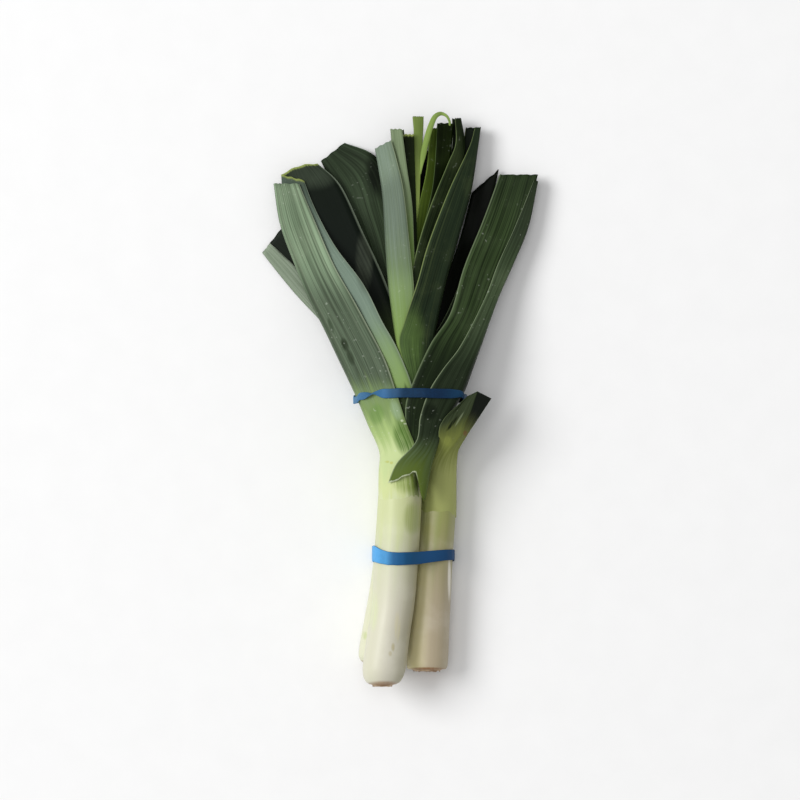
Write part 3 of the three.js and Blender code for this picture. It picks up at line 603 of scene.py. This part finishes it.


# Each leaf's streak colours are set to how dark it looks where it lies, so light and shade are painted
# into them. The leaves on the left, facing the light, are pale. Those on the right or deep under others
# are painted dark green to near black as painted shade.
LEAF_LOOKS = {
    "leaf_a_left_outer": ("pale_leaf", dict(
        face="8ba183", shade="4b5a44", base="869c64", margin="a9b499", base_start=0.2, base_end=0.42,
        streak=0.8, ridges=0.3, dust=0.1, speck=0.25, dims=[(0.42, 0.5, 0.7, 0.86, 0.6)],
        skin=[(22, -8, "788e59"), (-6, -28, "9db472"), (-24, -42, "bccb92"), (-48, -70, "c6cf96"),
              (-70, -80, "cbd3a6")],
        # The mark at (6, -63) is the sheath's yellow-green together with painted shadow under the torn
        # flap of leaf_a_right_outer.
        marks=[((4, -29), (8, 20, 0.4), "456326", 1.15), ((12, -77), (7, 18), "75853f", 0.9),
               ((6, -63), (14, 12), "7f9440", 1.1), ((-18, -11), (7, 10), "5f833c", 0.7),
               ((1.6, -16), (1.5, 1.2), "d9e2c6", 0.9), ((4.4, -18.4), (2.2, 0.8), "d9e2c6", 0.9),
               ((7.4, -22), (0.8, 3), "cfdab8", 0.7), ((-43, 43), (3.4, 7, 0.35), "1b2712", 1.3),
               ((-38.5, 33), (3, 8, 0.35), "1b2712", 1.3), ((-54, 58), (2, 8, 0.35), "2a3824", 0.9),
               ((1, -31), (7, 15, 0.3), "4d6d2c", 0.9), ((-3, -8), (5, 10, 0.35), "93a98c", 0.7),
               ((-10, -48), (2.2, 1.2), "aaa834", 0.9), ((-6.6, -48.8), (1.8, 1.4), "b0a93a", 0.8)])),
    "leaf_a_left_second": ("pale_leaf", dict(
        face="798b7c", shade="5e6f62", base="7b9556", margin="9dab95", base_start=0.2, base_end=0.58,
        inner=0.99, streak=0.2, tip="8f9c56", dims=[(0.7, 0.98, 1.5, 1.6, 0.6)],
        skin=[(12, 3, "27331a")],
        marks=[((-28, 108), (8, 30), "4a5144", 0.8), ((-70, 178), (26, 16), "4b5646", 0.6)])),
    "leaf_c_left_outer": ("deep_leaf", dict(
        face="9ba894", shade="66755f", base="84965f", margin="b4beaa", inner=0.96, streak=0.6)),
    "leaf_c_left_second": ("deep_leaf", dict(
        face="3b4532", shade="242b1d", base="3f4c2f", margin="5f685a", inner=0.4, streak=0.5)),
    "leaf_c_left_third": ("deep_leaf", dict(
        face="404f39", shade="202a1a", base="3f4c2f", margin="50614a", inner=0.96, streak=0.7,
        # The near-black mark at (-16, 180) is painted shadow under leaf_c_left_outer.
        dims=[(0.72, 0.95, 1.5, 1.6, 0.4)], marks=[((-16, 180), (13, 27), "0e150b", 1.35)])),
    "leaf_c_left_fourth": ("deep_leaf", dict(
        face="11180f", shade="070b06", base="3f4c2f", margin="39473a", inner=0.5)),
    "leaf_c_right_outer": ("deep_leaf", dict(
        face="11190f", shade="080c06", base="3f4c2f", margin="46543e", inner=0.9, speck=0.0)),
    "leaf_b_right_outer": ("deep_leaf", dict(
        face="090d07", shade="040503", base="2c3a1e", margin="2b3524", inner=0.6, speck=0.0)),
    "leaf_b_left_outer": ("deep_leaf", dict(
        face="020402", shade="010101", base="2c3a1e", margin="39462f", inner=0.6, speck=0.0)),
    "leaf_a_right_outer": ("deep_leaf", dict(
        face="546649", shade="28331e", base="546529", margin="8c9979", base_start=0.0, base_end=0.24,
        # The near-black mark at (23, -9) is painted shade in the crevice below the upper band, beside
        # the short leaf.
        inner=0.7, streak=0.7, speck=0.2, torn="dde6c4", marks=[((23, -9), (8, 8), "10180e", 0.9)],
        dims=[(0.74, 0.9, 1.5, 1.6, 0.66), (0.12, 0.24, 0.48, 0.74, 0.76)])),
    "leaf_a_right_second": ("deep_leaf", dict(
        face="3f5130", shade="16210f", base="101b06", margin="707f5f", inner=0.75, streak=0.8, speck=0.2,
        dims=[(0.1, 0.2, 0.42, 0.58, 0.72), (0.85, 1.0, 1.5, 1.6, 0.4)])),
    "leaf_a_right_third": ("deep_leaf", dict(
        face="2b3926", shade="151f14", base="3c5124", margin="8a9a5f", inner=0.7, streak=0.7,
        marks=[((5, 38), (16, 46, -0.1), "5a753a", 0.75)])),
    "leaf_a_left_third": ("mid_leaf", dict(
        face="819183", shade="5f6f59", base="77914a", margin="a5b48c", base_start=0.1, base_end=0.62,
        inner=0.75, streak=0.5, ridges=0.2, dims=[(0.3, 0.45, 0.68, 0.85, 0.28)])),
    "leaf_a_right_fourth": ("deep_leaf", dict(
        face="202c16", shade="10180a", base="2f4020", margin="7a8c58", inner=0.6)),
    "leaf_a_left_fourth": ("mid_leaf", dict(
        face="7d8d6d", shade="5a694b", base="5f7a30", margin="98a880", base_start=0.2, base_end=0.75,
        inner=0.8)),
    "leaf_a_right_fifth": ("mid_leaf", dict(
        face="101b02", shade="070d01", base="3a5018", margin="4f6430", inner=0.5)),
    "leaf_a_left_fifth": ("mid_leaf", dict(
        face="121c05", shade="090f03", base="3a5018", margin="4f6430", inner=0.5, tip="8f9c56")),
    "leaf_a_right_sixth": ("young_leaf", dict(
        face="45571a", shade="28360e", base="749433", margin="7d9640", inner=0.45)),
    "leaf_a_heart": ("young_leaf", dict(
        face="7a8c4d", shade="627636", base="b6cd6c", margin="9ab05c", base_start=0.24, base_end=0.72,
        inner=0.3)),
}
print(len(LEAF_LOOKS), "leaf finishes")


# %% [markdown]
# ## The folded leaves
#
# Two leaves begin at their shafts in ways that the plain fold doesn't give. The upper leek's left-hand
# leaf is the outer skin of its shaft, and the right-hand one is torn off it and hangs in a ragged flap.
# The heart leaf ends in a thin curl.

# %% The folded leaves
SMALL_WAVE = 0.35
WAVES = {"leaf_a_left_outer": 0.9, "leaf_a_right_outer": 0.8, "leaf_a_right_second": 0.6}
BOWS = {"leaf_a_left_second": 2.8}

# The oldest leaf of the upper leek is the outer skin of its shaft: its sheath starts flush with it.
SHEATH_A = [
    (-82, -0.5, 15.9, 41.3, 14.2), (-74, -0.3, 17.0, 41.6, 15.3), (-64, -1.0, 16.3, 42.0, 14.9),
    (-50, -1.8, 15.8, 42.6, 13.8), (-38, -2.2, 15.8, 43.2, 12.4)]
SKIN_LEAVES_AT = (-70, -42)

# Rows that the finer blades have where they leave the shafts: down to where the skin begins, and up
# from where the torn base of the upper leek's right-hand leaf ends.
BASE_ROWS = {
    "leaf_a_left_outer": ([(-82, -16.6, 15.4, 15.4), (-69, -16.6, 13.8, 13.8)], 0),
    "leaf_a_right_outer": ([(-65, 20.5, -9.3, 2)], 2),
}


def at_height(rows, y):
    """The row of a table at y, straight between its rows."""
    upper = next((i for i, row in enumerate(rows) if row[0] >= y), len(rows) - 1)
    low, high = rows[max(upper - 1, 0)], rows[upper]
    t = 0 if low is high else min(max((y - low[0]) / (high[0] - low[0]), 0), 1)
    return [lerp(a, b, t) for a, b in zip(low, high)]


def sheath_level(table, leaves_at, x, y, level, front):
    """The height of a blade that starts as the skin of its shaft and has left it at leaves_at."""
    _, centre, half_width, middle, half_height = at_height(table, y)
    off = min(max((x - centre) / half_width, -1), 1)
    bulge = half_height * math.sqrt(1 - off * off)
    return lerp(middle + (bulge if front else -bulge), level, smoothstep(y, *leaves_at))


TORN_FOOT = -13
TORN_NOTCH = 9
NOTCH_FROM = 0.08
NOTCH_AT = 0.3
TORN_RAGGED = 0.7
TORN_TURNS = 40


def torn_foot(share):
    """How far the torn base is moved along, in mm: down beside the keel, with a notch next to it."""
    if share < NOTCH_AT:
        return lerp(TORN_FOOT, TORN_NOTCH, smoothstep(share, NOTCH_FROM, NOTCH_AT))
    level = lerp(TORN_NOTCH, 0, (share - NOTCH_AT) / (1 - NOTCH_AT))
    return level + TORN_RAGGED * math.sin(share * TORN_TURNS)


CURL_PATH = [
    (15.6, 176), (17.2, 186), (18.6, 194), (20.7, 203), (23.7, 213), (26.8, 220.2), (30.2, 223),
    (33.3, 223.2), (36.6, 221.2), (38.6, 217.4), (38.8, 213.6)]
CURL_SIDES = 10
CURL_STEPS = 60
CURL_SUNK = 0.3
CURL_PASSES = 6
CURL_HALF_WIDTH = 2.4
CURL_HALF_HEIGHT = 0.7
CURL_CLOSING = 4
CURL_TIP_SHARE = 0.4
CURL_ROOT_SHARE = 0.35


def curl_tube():
    """The heart leaf's curled tip: a flattened tube along a bent line, thinner towards its end."""
    tree = tree_of("leaf_a_heart")
    points = []
    for j in range(CURL_STEPS):
        x, y = read(CURL_PATH, j / (CURL_STEPS - 1))
        points.append(Vector((x, y, height(tree, x, y, True) - CURL_SUNK)))
    for p, (z,) in zip(points, smoothed([[p.z] for p in points], CURL_PASSES)):
        p.z = z

    def place(i, j):
        ahead = points[min(j + 1, CURL_STEPS - 1)] - points[max(j - 1, 0)]
        aside = ahead.cross(Vector((0, 0, 1))).normalized()
        angle = i / (CURL_SIDES - 1) * 2 * math.pi
        end = max(0, (j - CURL_STEPS + CURL_CLOSING) / (CURL_CLOSING - 1))
        along = j / CURL_STEPS
        slim = lerp(1.0, CURL_TIP_SHARE, smoothstep(along, 0.3, 0.9)) * math.sqrt(1 - end ** 2)
        slim *= lerp(CURL_ROOT_SHARE, 1.0, smoothstep(along, 0.0, 0.18))
        wide = CURL_HALF_WIDTH * slim * math.cos(angle)
        return points[j] + aside * wide + Vector((0, 0, CURL_HALF_HEIGHT * slim * math.sin(angle)))

    return grid(CURL_SIDES, CURL_STEPS, place, wrap=True)


for node, (slants, rows) in LEAVES.items():
    slot, look = LEAF_LOOKS[node]
    base, kept = BASE_ROWS.get(node, ([], 0))
    sheath = partial(sheath_level, SHEATH_A, SKIN_LEAVES_AT) if node == "leaf_a_left_outer" else None
    foot = torn_foot if node == "leaf_a_right_outer" else None
    sheet = leaf_sheet(node, slants, base + rows[kept:], WAVES.get(node, SMALL_WAVE),
                       BOWS.get(node, 0.0), sheath, foot)
    finish = material(node.replace("leaf", "blade"), leaf_look(**look), LEAF_SPECULAR)
    thicken(finished(sheet, node + "_fine", [node], finish), LEAF_THICKNESS)
    if node == "leaf_a_heart":
        curl_look = leaf_look("8ba356", "6d8640", "8ba356", "9db368", inner=0.0)
        finished(curl_tube(), "leaf_a_curl_fine", [node],
                 material("curl", curl_look, LEAF_SPECULAR))
print(len(LEAVES), "folded leaves and a curl")


# %% [markdown]
# ## The short cut leaf
#
# The right-hand leek keeps one short leaf, cut off a little above the upper band. It is bent over its
# keel like a roof, lit on its left and dark on its right, and yellow-green where it leaves the shaft.

# %% The short cut leaf
SHEATH_B = [
    (-94, 29.0, 13.4, 18.3, 14.7), (-84, 29.8, 14.1, 18.3, 15.5), (-66, 30.8, 13.4, 18.6, 15.2),
    (-50, 33.0, 12.2, 19.5, 15.0), (-36, 37.5, 10.4, 22.0, 15.0)]
SHORT_COLUMNS = 35
SHORT_ROWS = 80
SHORT_WITHIN = 0.94
SHORT_LEAVES_AT = (-60, -22)


def short_sheet():
    """The short leaf from its left to its right margin, wrapped round its shaft at the base."""
    tree = tree_of("leaf_b_short")
    start, end = SHORT_LEAF[0][0], SHORT_LEAF[-1][0]
    plan, heights = [], []
    for j in range(SHORT_ROWS):
        y, ridge, left, right = read(SHORT_LEAF, j / (SHORT_ROWS - 1))
        along = max((y - start) / (end - start), 0.0) ** (1 / STATION_SPREAD)
        line, levels = [], []
        for i in range(SHORT_COLUMNS):
            share = 1 - i / (SHORT_COLUMNS - 1) * 2
            offset = abs(share) * ((right if share > 0 else left) - ridge)
            cut = y + SHORT_SLANT * abs(offset) * smoothstep(along, CUT_FROM, 1)
            inner = min(max(cut, SHORT_CAD_FIRST + BASE_INSET),
                        end + SHORT_SLANT * abs(offset) - TIP_INSET)
            line.append((ridge + offset, cut))
            levels.append(height(tree, ridge + offset * SHORT_WITHIN, inner, True))
        plan.append(line)
        heights.append(levels)
    heights = smoothed(heights, HEIGHT_PASSES)

    def place(i, j):
        x, y = plan[j][i]
        return x, y, sheath_level(SHEATH_B, SHORT_LEAVES_AT, x, y, heights[j][i], True)

    return grid(SHORT_COLUMNS, SHORT_ROWS, place)


# inner paints shade over the right half, which faces away from the light. Of the marks, the near-black
# line at (40.6, -18.2) is painted shade in a crease. The others are a brown notch, a pale streak and a
# yellow-green patch.
short_look = leaf_look(
    face="37412d", shade="1f2814", base="7a8242", margin="6a7550", base_start=0.5, base_end=0.82,
    inner=0.9, streak=0.5, skin=[(-34, -60, "a3a969")],
    marks=[((50.7, -25.8), (2.2, 2.8), "7a3f22", 0.7), ((40.6, -18.2), (1.5, 9, -0.66), "141c0a", 1.6),
           ((46, -15), (0.9, 8, -0.55), "9aa684", 0.5), ((37, -32), (4, 5), "959d4e", 0.6)])
short_leaf = finished(short_sheet(), "leaf_b_short_fine", ["leaf_b_short"],
                      material("blade_b_short", short_look, LEAF_SPECULAR))
thicken(short_leaf, LEAF_THICKNESS)
print("short leaf,", SHORT_LEAF[-1][0] - SHORT_LEAF[0][0], "mm along its ridge")


# %% [markdown]
# ## Shafts and root plates
#
# A shaft is the rolled pale bases of the leaves. The edge of its outermost sheath runs along it as a
# fine step, and lengthwise veins show through the skin. At the foot is the disc that the roots were
# trimmed from, with their stubs, and the skin is browned where it was cut.

# %% Shafts and root plates
SHAFT_COLUMNS = 97
SHAFT_ROWS = 150
SHAFT_CROWDING = 1.25
SHEATH_STEP = 0.35
SHEATH_EDGE = {"a": 5.6, "b": 5.1, "c": 1.0}
SHEATH_TWIST = 0.0016
UNTWISTED_AT = -200
FOOT_ROUNDING = 12
SHAFT_WAVES = [(0.12, 3, 0.02), (0.08, 7, -0.013)]


def shaft_body(leek):
    """A shaft with the step of its outermost sheath, which turns a little round it, and faint waves."""
    rows = [read(SHAFTS[leek], (j / (SHAFT_ROWS - 1)) ** SHAFT_CROWDING) for j in range(SHAFT_ROWS)]
    edge = SHEATH_EDGE[leek]

    def place(i, j):
        y, x, half_width, z, half_height = rows[j]
        angle = (i % (SHAFT_COLUMNS - 1)) / (SHAFT_COLUMNS - 1) * 2 * math.pi
        turn = ((angle - edge - SHEATH_TWIST * (y - UNTWISTED_AT)) / (2 * math.pi)) % 1.0
        skin = SHEATH_STEP * (0.5 - turn) * smoothstep(y, rows[0][0], rows[0][0] + FOOT_ROUNDING)
        skin += sum(size * math.sin(angle * turns + y * lean) for size, turns, lean in SHAFT_WAVES)
        return x + (half_width + skin) * math.cos(angle), y, z + (half_height + skin) * math.sin(angle)

    mesh = grid(SHAFT_COLUMNS, SHAFT_ROWS, place, wrap=True)
    bmesh.ops.holes_fill(mesh, edges=mesh.edges)
    return mesh


def shaft_look(foot, middle, neck, right, left, marks):
    """Colours up the shaft, and a colour with its share for its right and its left flank."""
    def look(wire):
        u, _, _ = wire.parts(wire.node("ShaderNodeUVMap", {"uv_map": "UVMap"}))
        place = wire.node("ShaderNodeTexCoord", out=3)
        x, y, _ = wire.parts(place)
        veins = wire.noise(wire.vector(u * 150, y * 9, 2.0), 1.0, 2.0)
        bands = wire.noise(wire.vector(u * 22, y * 7, 5.0), 1.0, 3.0)
        cloud = wire.noise(place, 32.0, 4.0)
        drift = y + (bands - 0.5) * 0.05
        colour = drift.ramp(-0.17, -0.1).mix(paint(foot), paint(middle))
        colour = drift.ramp(-0.125, -0.085).mix(colour, paint(neck))
        colour = ((veins - 0.35) * 0.22).mix(colour, paint(neck))
        # Painted shade on the right flank, which faces away from the light. Painted light on the left
        # flank, which on the lower shaft also paints out the shadow of the upper one.
        colour = (u.ramp(0.24, 0.06) * right[1]).mix(colour, paint(right[0]))
        colour = (u.ramp(0.22, 0.36) * u.ramp(0.62, 0.5) * left[1]).mix(colour, paint(left[0]))
        colour = (cloud.ramp(0.5, 0.75) * 0.18).mix(colour, paint("f2f0e2"))
        for at, size, tint, strength in marks:
            ragged = spot(wire, x, y, at, size) * (1 + (veins - 0.5) * 2.4 + (cloud - 0.5)) * strength
            colour = ragged.mix(colour, paint(tint))
        return colour, 0.42 + (cloud - 0.5) * 0.2, veins, 0.06, 0.08

    return look


# In each look, the fourth colour is painted shade on the right flank and the fifth is painted light on
# the left flank.
SHAFT_LOOKS = {
    "a": ("pale_shaft", shaft_look("cac6b6", "c0c3a4", "bfc692", ("8a8454", 0.6), ("dadfb8", 0.2), [
        ((10, -92), (9, 16), "909c56", 0.6), ((-21, -163), (5, 20), "ccd8a2", 0.4),
        ((-5.4, -192), (1.8, 4), "a89c68", 0.4), ((-7.6, -197), (1.6, 2.6), "a89c68", 0.35),
        ((-2, -176), (3, 14), "cfc79a", 0.35), ((-13, -222.5), (17, 5), "9a7a58", 0.9)])),
    "b": ("olive_shaft", shaft_look("b3a58c", "9c996a", "969b5c", ("8f8660", 0.2), ("e0d9a2", 0.64), [
        ((21, -210), (17, 2.2), "8a6440", 0.9), ((38.5, -140), (1.6, 20), "ece8da", 0.85),
        ((20, -90), (4, 40), "858b48", 0.5)])),
    "c": ("pale_shaft", shaft_look("cfcfba", "c6cca4", "b7c384", ("8a8454", 0.3), ("dfe3b4", 0.2), [
        ((-27.5, -184), (2.6, 4), "bcc690", 0.6), ((-22, -205), (12, 3), "a88a66", 0.6)])),
}


DISC_SHARE = 0.84
DISC_HALF_DEPTH = 1.9
STUBS = 26
STUB_TURN = 2.4
STUB_SPREAD = 0.74
STUB_LENGTHS = (1.6, 2.6)
STUB_RADII = (0.45, 0.85)
STUB_LEAN = 0.2
STUB_TAPER = 0.7
STUB_OUT = 0.9


def root_disc(leek):
    """The cut disc: a flat cushion with root stubs at even spacing on its face."""
    y, x, half_width, z, half_height = SHAFTS[leek][0]
    mesh = bmesh.new()
    bmesh.ops.create_uvsphere(mesh, u_segments=36, v_segments=18, radius=1)
    bmesh.ops.scale(mesh, verts=mesh.verts,
                    vec=(half_width * DISC_SHARE, DISC_HALF_DEPTH, half_height * DISC_SHARE))
    for i in range(STUBS):
        angle = i * STUB_TURN
        reach = math.sqrt((i + 0.5) / STUBS) * STUB_SPREAD
        length = random.uniform(*STUB_LENGTHS)
        wide = random.uniform(*STUB_RADII)
        stub = bmesh.ops.create_cone(mesh, cap_ends=True, segments=8, radius1=wide,
                                     radius2=wide * STUB_TAPER, depth=length)["verts"]
        leaning = Vector((random.uniform(-STUB_LEAN, STUB_LEAN), -1,
                          random.uniform(-STUB_LEAN, STUB_LEAN)))
        bmesh.ops.rotate(mesh, verts=stub,
                         matrix=Vector((0, 0, 1)).rotation_difference(leaning).to_matrix())
        bmesh.ops.translate(mesh, verts=stub, vec=(
            reach * half_width * math.cos(angle), -STUB_OUT, reach * half_height * math.sin(angle)))
    bmesh.ops.translate(mesh, verts=mesh.verts, vec=Vector((x, y + 0.1, z)) + CENTRING)
    bmesh.ops.scale(mesh, vec=(MM, MM, MM), verts=mesh.verts)
    return mesh


def root_look(wire):
    """Dry cut tissue, dull and mottled."""
    place = wire.node("ShaderNodeTexCoord", out=3)
    grain = wire.noise(place, 700.0, 4.0)
    patch = wire.noise(place, 180.0, 2.0)
    colour = patch.ramp(0.35, 0.65).mix(paint("cbb290"), paint("8f6f50"))
    return grain.ramp(0.55, 0.75).mix(colour, paint("6b4b34")), 0.8, grain, 0.3, 0.0


root_finish = material("root_cut", root_look)
for leek, (slot, look) in SHAFT_LOOKS.items():
    finished(shaft_body(leek), f"shaft_{leek}_fine", [f"shaft_{leek}"],
             material(f"shaft_{leek}_skin", look))
    finished(root_disc(leek), f"root_plate_{leek}_fine", [f"root_plate_{leek}"],
             root_finish)
print(len(SHAFT_LOOKS), "shafts and root plates,", STUBS, "stubs on each plate")


# %% [markdown]
# ## Rubber bands
#
# Flat blue bands, pulled tight round the shafts and round the throat of the fan. The upper one is turned
# over once, so it narrows where it lies edge-on, and it rolls in on itself where it bends round the
# side.

# %% Rubber bands
BAND_STEPS = 260
BAND_SIDES = 17
BAND_THICKNESS = 1.15
BAND_SAMPLES = 33
BAND_REACH = 0.3
BAND_PASSES = 3
TUCKED_AT = (26, 37)
TURN_NARROWS = 0.5
TURN_LIFTS = 1.4
SIDE_POWER = 0.35
RISE_POWER = 0.6

# How much its outer face has to look up, from -1 to 1, for a band to be turned, rolled in or slid there.
TURNED_FACING = 0.2
ROLLED_FACING = (-0.6, 0.2)
SLID_FACING = (-0.6, 0.4)


def band_line(node):
    """The middle of the band's outer face round the bunch: x, y and z in mm at even angles."""
    tree = tree_of(node)
    low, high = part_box(node)
    middle = (low + high) / 2
    line = []
    for k in range(BAND_STEPS):
        angle = k / BAND_STEPS * 2 * math.pi
        away = Vector((math.cos(angle), 0, math.sin(angle)))
        hits = []
        for step in range(BAND_SAMPLES):
            y = lerp(low.y, high.y, (step + 0.5) / BAND_SAMPLES)
            hit = tree.ray_cast(Vector((middle.x, y, middle.z)) + away * BAND_REACH, -away)[0]
            if hit is not None and (hit - middle).dot(away) > 0:
                hits.append(hit)
        line.append([(first + last) / 2 / MM for first, last in zip(hits[0], hits[-1])])
    return line


def round_smoothed(line, passes):
    """A closed line with each point averaged with its neighbours."""
    for _ in range(passes):
        line = [[(line[k - 1][c] + 2 * line[k][c] + line[(k + 1) % len(line)][c]) / 4 for c in range(3)]
                for k in range(len(line))]
    return line


def eased(points, x):
    """The value at x of a table of pairs, straight between them and level outside."""
    for (a, low), (b, high) in zip(points, points[1:]):
        if x < b:
            return lerp(low, high, min(max((x - a) / (b - a), 0.0), 1.0))
    return points[-1][1]


def rounded(value, power):
    """A sine or cosine pushed towards its ends, which squares a circle's section."""
    return math.copysign(abs(value) ** power, value)


def band_ring(node, width, tucked, turned, rolled, sag):
    """A flat ring along the band's line, pulled in by tucked at its left end. turned, rolled and sag
    give its twist, how far it rolls in and how far it has slid along the bunch, at x."""
    line = round_smoothed(band_line(node), BAND_PASSES)
    flat = Vector((0, 1, 0))

    def place(i, j):
        j = j % BAND_STEPS
        here = Vector(line[j]) - CENTRING
        here.x += tucked * smoothstep(-here.x, *TUCKED_AT)
        ahead = Vector(line[(j + 1) % BAND_STEPS]) - Vector(line[j - 1])
        out = Vector((ahead.z, 0, -ahead.x)).normalized()
        here.y += eased(sag, here.x) * smoothstep(out.z, *SLID_FACING)
        twist = turned(here.x) if out.z > TURNED_FACING else 0.0
        roll = lerp(1.0, eased(rolled, here.x), smoothstep(out.z, *ROLLED_FACING))
        narrow = (1 - TURN_NARROWS * math.sin(twist)) * roll
        across = flat * math.cos(twist) + out * math.sin(twist)
        up = out * math.cos(twist) - flat * math.sin(twist)
        angle = (i % (BAND_SIDES - 1)) / (BAND_SIDES - 1) * 2 * math.pi
        side, rise = rounded(math.cos(angle), SIDE_POWER), rounded(math.sin(angle), RISE_POWER)
        centre = here - out * (BAND_THICKNESS / 2) + out * (TURN_LIFTS * math.sin(twist))
        return centre + across * (side * width / 2 * narrow) + up * (rise * BAND_THICKNESS / 2)

    return grid(BAND_SIDES, BAND_STEPS + 1, place, wrap=True)


def band_look(stops):
    """Rubber whose colour changes along x: stops are x in mm and the colour from there to the right."""
    def look(wire):
        u, v, _ = wire.parts(wire.node("ShaderNodeUVMap", {"uv_map": "UVMap"}))
        place = wire.node("ShaderNodeTexCoord", out=3)
        grain = wire.noise(place, 1500.0, 3.0)
        length = wire.noise(wire.vector(u * 14, v * 60, 1.0), 1.0, 3.0)
        x, _, _ = wire.parts(place)
        # The stops paint light and shade along the band: light blue at its left end, where the light
        # falls on it, and darker blue to the right, in shade.
        colour = paint(stops[0][1])
        for (before, _), (at, code) in zip(stops, stops[1:]):
            colour = x.ramp(before * MM, at * MM).mix(colour, paint(code))
        colour = ((length.ramp(0.35, 0.65) - 0.5).magnitude() * 0.2).mix(colour, paint("1d4f86"))
        colour = ((u - 0.25).magnitude().ramp(0.15, 0.21) * 0.6).mix(colour, paint("0d2440"))
        return colour, 0.55 + (grain - 0.5) * 0.2, grain, 0.05, 0.0

    return look


RUBBER_SPECULAR = 0.15
LOWER_WIDTH = 9.8
LOWER_ROLL = [(-20, 1.3), (-14, 1.12), (-6, 1.03), (14, 1.0), (40, 0.84)]
LOWER_SLIDE = [(-21, 2.4), (-16, 0.4), (-10, -1.1), (-2, -1.5), (14, -1.1), (26, 0.1), (36, 1.0)]
# Painted light and shade along the lower band: lit at its left end, darker to the right.
LOWER_LIT_TO_SHADED = [
    (-20, "5aa5de"), (-12, "4b93c8"), (-4, "225c8c"), (8, "184b73"), (24, "1a4d7c"), (40, "15426c")]
UPPER_WIDTH = 7.4
UPPER_TUCK = 2.2
UPPER_TURN = (-30, -12)
UPPER_ROLL = [(-38, 0.72), (-28, 0.8), (-18, 1.0), (40, 1.0), (54, 0.5)]
UPPER_SLIDE = [(-38, -2.8), (-28, -1.6), (-20, 0.0)]
# Painted light and shade along the upper band: lit at its left end, darker to the right.
UPPER_LIT_TO_SHADED = [
    (-34, "6cabdb"), (-27, "5794c4"), (-14, "386894"), (-5, "244c6e"), (4, "12314c"), (30, "0d2946"),
    (46, "143a58")]

BANDS = {
    "lower": (LOWER_LIT_TO_SHADED, band_ring(
        "band_lower", LOWER_WIDTH, 0.0, lambda x: 0.0, LOWER_ROLL, LOWER_SLIDE)),
    "upper": (UPPER_LIT_TO_SHADED, band_ring(
        "band_upper", UPPER_WIDTH, UPPER_TUCK, lambda x: math.pi * (1 - smoothstep(x, *UPPER_TURN)),
        UPPER_ROLL, UPPER_SLIDE)),
}
for name, (stops, ring) in BANDS.items():
    finished(ring, f"band_{name}_fine", [f"band_{name}"],
             material(f"blue_band_{name}", band_look(stops), RUBBER_SPECULAR))
print("bands", LOWER_WIDTH, "and", UPPER_WIDTH, "mm wide")
